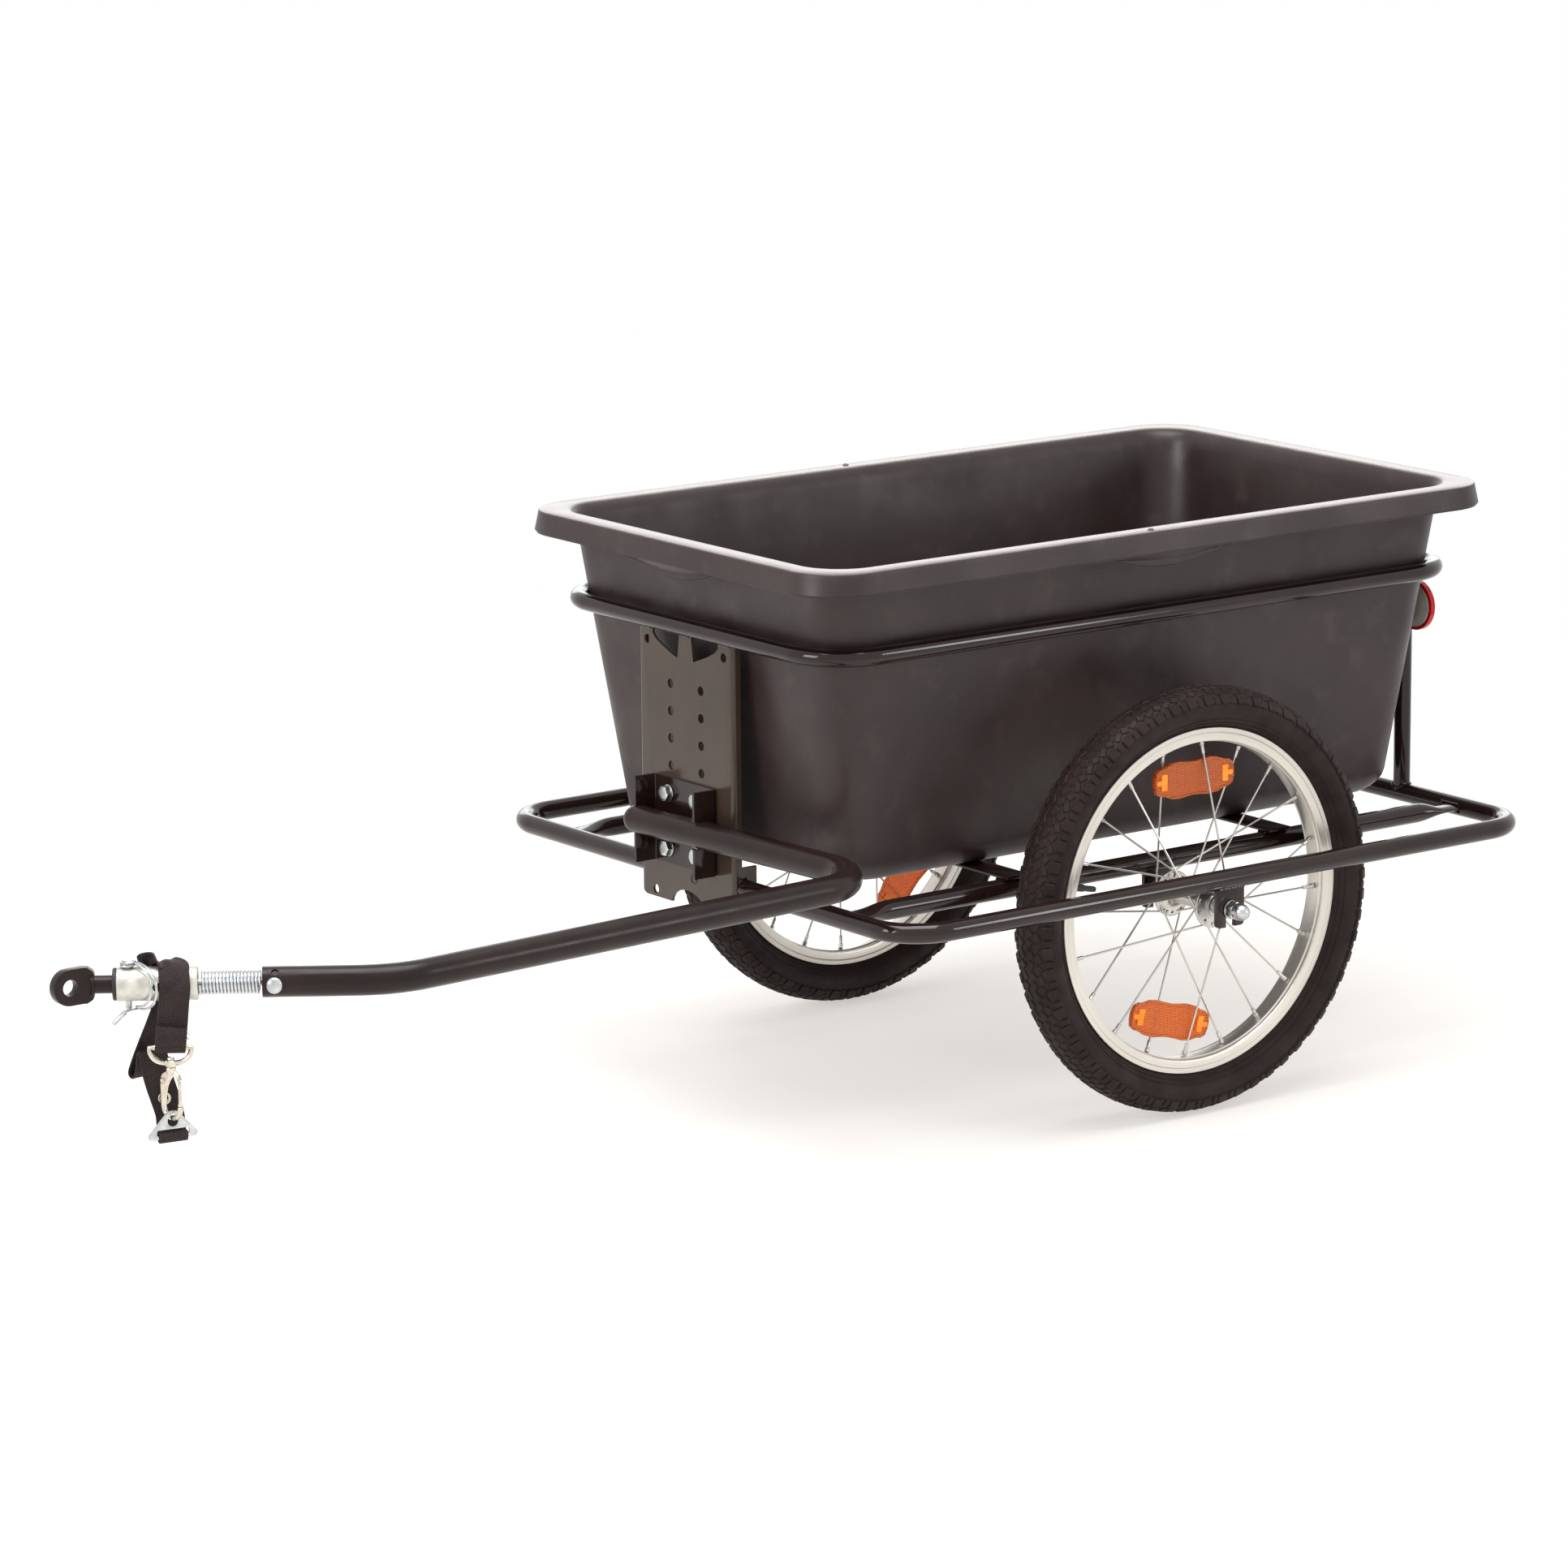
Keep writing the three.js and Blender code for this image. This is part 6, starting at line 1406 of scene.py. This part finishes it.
def make_fork(sign):
    inset, foot = FORK_HALF - FORK_CORNER, FORK_FOOT + FORK_CORNER
    outline = [(-FORK_HALF, FORK_TOP + 2), (-FORK_HALF, foot)]
    outline += arc_points(-inset, foot, FORK_CORNER, 195, 270, 5)
    outline += [(-SLOT_RADIUS, FORK_FOOT), (-SLOT_RADIUS, 0)]
    outline += arc_points(0, 0, SLOT_RADIUS, 165, 15, 10)
    outline += [(SLOT_RADIUS, 0), (SLOT_RADIUS, FORK_FOOT), (inset, FORK_FOOT)]
    outline += arc_points(inset, foot, FORK_CORNER, -75, 0, 5) + [(FORK_HALF, FORK_TOP + 2)]
    near, far = (FORK_NEAR, FORK_FAR) if sign > 0 else (-FORK_FAR, -FORK_NEAR)
    plate = pressed("fork", [(x, near, z) for x, z in outline], (0, far - near, 0))
    tube_y = sign * TUBE_FROM_WHEEL
    carved(plate, pin("tube_room", (-40, tube_y, FORK_TOP), (40, tube_y, FORK_TOP), 8.9, 48))
    seams = []
    for y in (near, far):
        z = FORK_TOP - 8.9 * math.cos(math.asin(min(1, abs(y - tube_y) / FRAME_RADIUS)))
        seams.append(bead("fork_seam", [(-15.5, y, z), (15.5, y, z)], 1.3, False))
    return joined("fork", bevelled(plate, 0.5, 2, 50), *seams)


for name, sign in (("fork_plate_outer", 1), ("fork_plate_inner", -1)):
    both_sides(lambda: make_fork(sign), name, "frame", "frame_paint", GLOSS_BLACK,
               right=RIGHT_AXLE)


def y_place(y, way=1):
    return along((0, y, 0), (0, way, 0))


def make_axle():
    pieces = [turned("axle", [(0, -65.5), (4.4, -65.5), (4.75, -65), (4.75, 71), (0, 71)], Y_UP,
                     24)]
    for way in (1, -1):
        cone = [(4.7, 34.4), (8, 34.4), (8, 36.5), (7.2, 38.6), (4.7, 38.6)]
        pieces += [turned("cone", cone,
                          Y_UP if way > 0 else Y_UP @ Matrix.Rotation(math.pi, 4, "X"), 32),
                   hexagon("cone_flats", 14.4, 4.2, y_place(way * 38.4, way)),
                   washer("lock_washer", 8, 4.7, 1.2, y_place(way * 42.8, way)),
                   hexagon("locknut", 14, 4.1, y_place(way * 44.1, way))]
    return joined("axle", *pieces)


def make_outer_nut():
    dome = [(0, 61.5), (7.1, 61.5), (7.6, 62.2), (7.6, 67.8), (7.0, 70.4), (5.3, 73.2),
            (2.8, 75.1), (0, 75.8)]
    return joined("axle_nut_outer", washer("washer", 8.5, 4.9, 1.4, y_place(52.8)),
                  hexagon("nut", 14.8, 7.6, y_place(54.5), 4.6), turned("dome", dome, Y_UP, 40))


def make_inner_nut():
    return joined("axle_nut_inner", washer("washer", 8.5, 4.9, 1.4, y_place(-52.8, -1)),
                  hexagon("nut", 14.8, 7.8, y_place(-54.4, -1), 4.9))


for make, name in ((make_axle, "axle"), (make_outer_nut, "axle_nut_outer"),
                   (make_inner_nut, "axle_nut_inner")):
    both_sides(make, name, "frame", "zinc", ZINC, right=RIGHT_AXLE)

# ---------------------------------------------------------------------------------------------
# Rear reflectors: round red acrylic lenses in grey ABS housings, each held to its strut by a
# moulded stud and a nut.
# ---------------------------------------------------------------------------------------------
# Red acrylic lets little light through. The ABS housings are grey and matt.
RED = lens_material("red_acrylic", ("#e3181a", "#b00c10"), 0.12)
GREY = surface("abs_plastic", ("#8b857d", "#98928a"), (0.42, 0.52), size=12, fine=0.8, bump=0.012)
REFLECTOR_Z = 402
LENS = [(0, 14.7), (20.7, 14.7), (20.7, 12.8), (24, 12.8), (24, 17.6), (23, 18.6), (20.4, 19.6),
        (0, 19.7)]
HOUSING = [(0, 14.4), (20.2, 14.4), (20.5, 14), (20.5, 11), (16, 9.2), (12.3, 8.3), (2.5, 8.3),
           (2.5, -8.4), (0, -8.4)]
for side, sign in (("left", 1), ("right", -1)):
    back = along((LOOP_REAR, sign * STRUT_Y, REFLECTOR_Z), (-1, 0, 0))
    settle(turned("rear_reflector", LENS, back, 64), "frame", "red_lens", RED,
           "rear_reflector_" + side)
    shell = turned("rear_reflector_back", HOUSING, back, 48)
    nut_place = along((LOOP_REAR + 8.3, sign * STRUT_Y, REFLECTOR_Z), (1, 0, 0))
    nut = hexagon("stud_nut", 8, 3.9, nut_place, 2.4)
    settle(joined("rear_reflector_back", shell, nut), "frame", "grey_plastic", GREY,
           "rear_reflector_back_" + side)

# ---------------------------------------------------------------------------------------------
# Studio: a pale floor that runs out to a white background, soft boxes over and to the sides,
# and the camera at the photograph's viewing angle.
# ---------------------------------------------------------------------------------------------
bpy.ops.object.select_all(action="DESELECT")
bpy.ops.mesh.primitive_circle_add(vertices=96, radius=40, fill_type="NGON")
floor = bpy.context.active_object
floor.name = "studio_floor"
FLOOR = bpy.data.materials.new("studio_paper")
FLOOR.use_nodes = True
tree = FLOOR.node_tree
paper = tree.nodes["Principled BSDF"]
paper.inputs["Base Color"].default_value = (0.94, 0.925, 0.905, 1)
paper.inputs["Roughness"].default_value = 0.8
source = add_node(tree, "TexCoord")
# The paper fades into the white background between these distances in metres.
FADE_FROM, FADE_TO = 0.9, 2.4
reach = add_node(tree, "VectorMath", [("Vector", source.outputs["Object"])], operation="LENGTH")
far_share, far_tint = (add_node(tree, "MapRange", [("Value", reach.outputs["Value"])],
                                From_Min=FADE_FROM, From_Max=FADE_TO,
                                To_Min=least).outputs["Result"]
                       for least in (0.55, 0))
rays = add_node(tree, "LightPath")
seen = add_node(tree, "Math", [(0, rays.outputs["Is Camera Ray"]),
                               (1, rays.outputs["Is Glossy Ray"])], operation="MAXIMUM")
shown = add_node(tree, "Math", [(0, seen.outputs[0]), (1, rays.outputs["Is Transmission Ray"])],
                 operation="MAXIMUM")
share = add_node(tree, "Math", [(0, shown.outputs[0]), (1, far_share)], operation="MULTIPLY")
tint = add_node(tree, "Mix", [("Factor", far_tint)], data_type="RGBA", A=linear("#fffaf5"),
                B=(1, 1, 1, 1))
glow = add_node(tree, "Emission", [("Color", tint.outputs["Result"])], Strength=1.0)
both = add_node(tree, "MixShader", [(0, share.outputs[0]), (1, paper.outputs[0]),
                                    (2, glow.outputs[0])])
tree.links.new(both.outputs[0], tree.nodes["Material Output"].inputs["Surface"])
floor.data.materials.append(FLOOR)


def soft_box(name, place, target, width, height, power):
    bpy.ops.object.light_add(type="AREA", location=place)
    lamp = bpy.context.active_object
    lamp.name = name
    lamp.data.shape = "RECTANGLE"
    lamp.data.size, lamp.data.size_y = width, height
    lamp.data.energy = power
    lamp.rotation_euler = (Vector(target) - Vector(place)).to_track_quat("-Z", "Y").to_euler()


soft_box("over", (0.2, 0.4, 3.2), (0, 0, 0.2), 2.6, 2.0, 95)
soft_box("left_side", (-2.6, 3.4, 1.5), (-0.2, 0, 0.3), 0.5, 1.3, 18)
soft_box("front_side", (3.4, 0.2, 1.6), (0, 0, 0.3), 1.5, 1.5, 52)
soft_box("behind", (-2.9, -3.9, 1.5), (0, 0, 0.4), 4.2, 1.3, 33)

world = bpy.data.worlds.new("studio_white")
bpy.context.scene.world = world
world.use_nodes = True
tree = world.node_tree
tree.nodes.clear()
rays = add_node(tree, "LightPath")
# Half of the world is white even for the rays that only light the trailer.
WHITE_SHARE = 0.5
shown = None
for kind in ("Is Camera Ray", "Is Glossy Ray", "Is Transmission Ray"):
    seen = add_node(tree, "Math", [(0, rays.outputs[kind])], operation="MAXIMUM")
    seen.inputs[1].default_value = WHITE_SHARE
    if shown:
        tree.links.new(shown, seen.inputs[1])
    shown = seen.outputs[0]
sky = add_node(tree, "TexCoord")
height = add_node(tree, "SeparateXYZ", [("Vector", sky.outputs["Generated"])])
strength = add_node(tree, "MapRange", [("Value", height.outputs["Z"])], From_Min=0.05,
                    From_Max=0.75, To_Min=0.3, To_Max=1.05)
soft = add_node(tree, "Background", [("Strength", strength.outputs["Result"])],
                Color=(1.0, 0.985, 0.965, 1))
white = add_node(tree, "Background", Color=(1, 1, 1, 1), Strength=1.0)
blend = add_node(tree, "MixShader", [(0, shown), (1, soft.outputs[0]), (2, white.outputs[0])])
add_node(tree, "OutputWorld", [("Surface", blend.outputs[0])])

# The camera fitted to the photo: its place in metres, its own axes and its lens.
CAMERA_PLACE = (3.25375, 4.5345, 1.53072)
CAMERA_RIGHT = (-0.80254516, 0.59654082, -0.00776641)
CAMERA_UP = (-0.13383193, -0.1673316, 0.97677487)
CAMERA_BACK = (0.58138652, 0.78494534, 0.21412738)
SENSOR, FOCAL_PIXELS, PHOTO_PIXELS = 36, 7856.16, 1932
bpy.ops.object.camera_add()
camera = bpy.context.active_object
camera.data.sensor_width = SENSOR
camera.data.lens = FOCAL_PIXELS / PHOTO_PIXELS * SENSOR
camera.data.clip_end = 200
turn = Matrix((CAMERA_RIGHT, CAMERA_UP, CAMERA_BACK)).transposed().to_4x4()
camera.matrix_world = Matrix.Translation(CAMERA_PLACE) @ turn
bpy.context.scene.camera = camera
bpy.context.scene.view_settings.view_transform = "Standard"
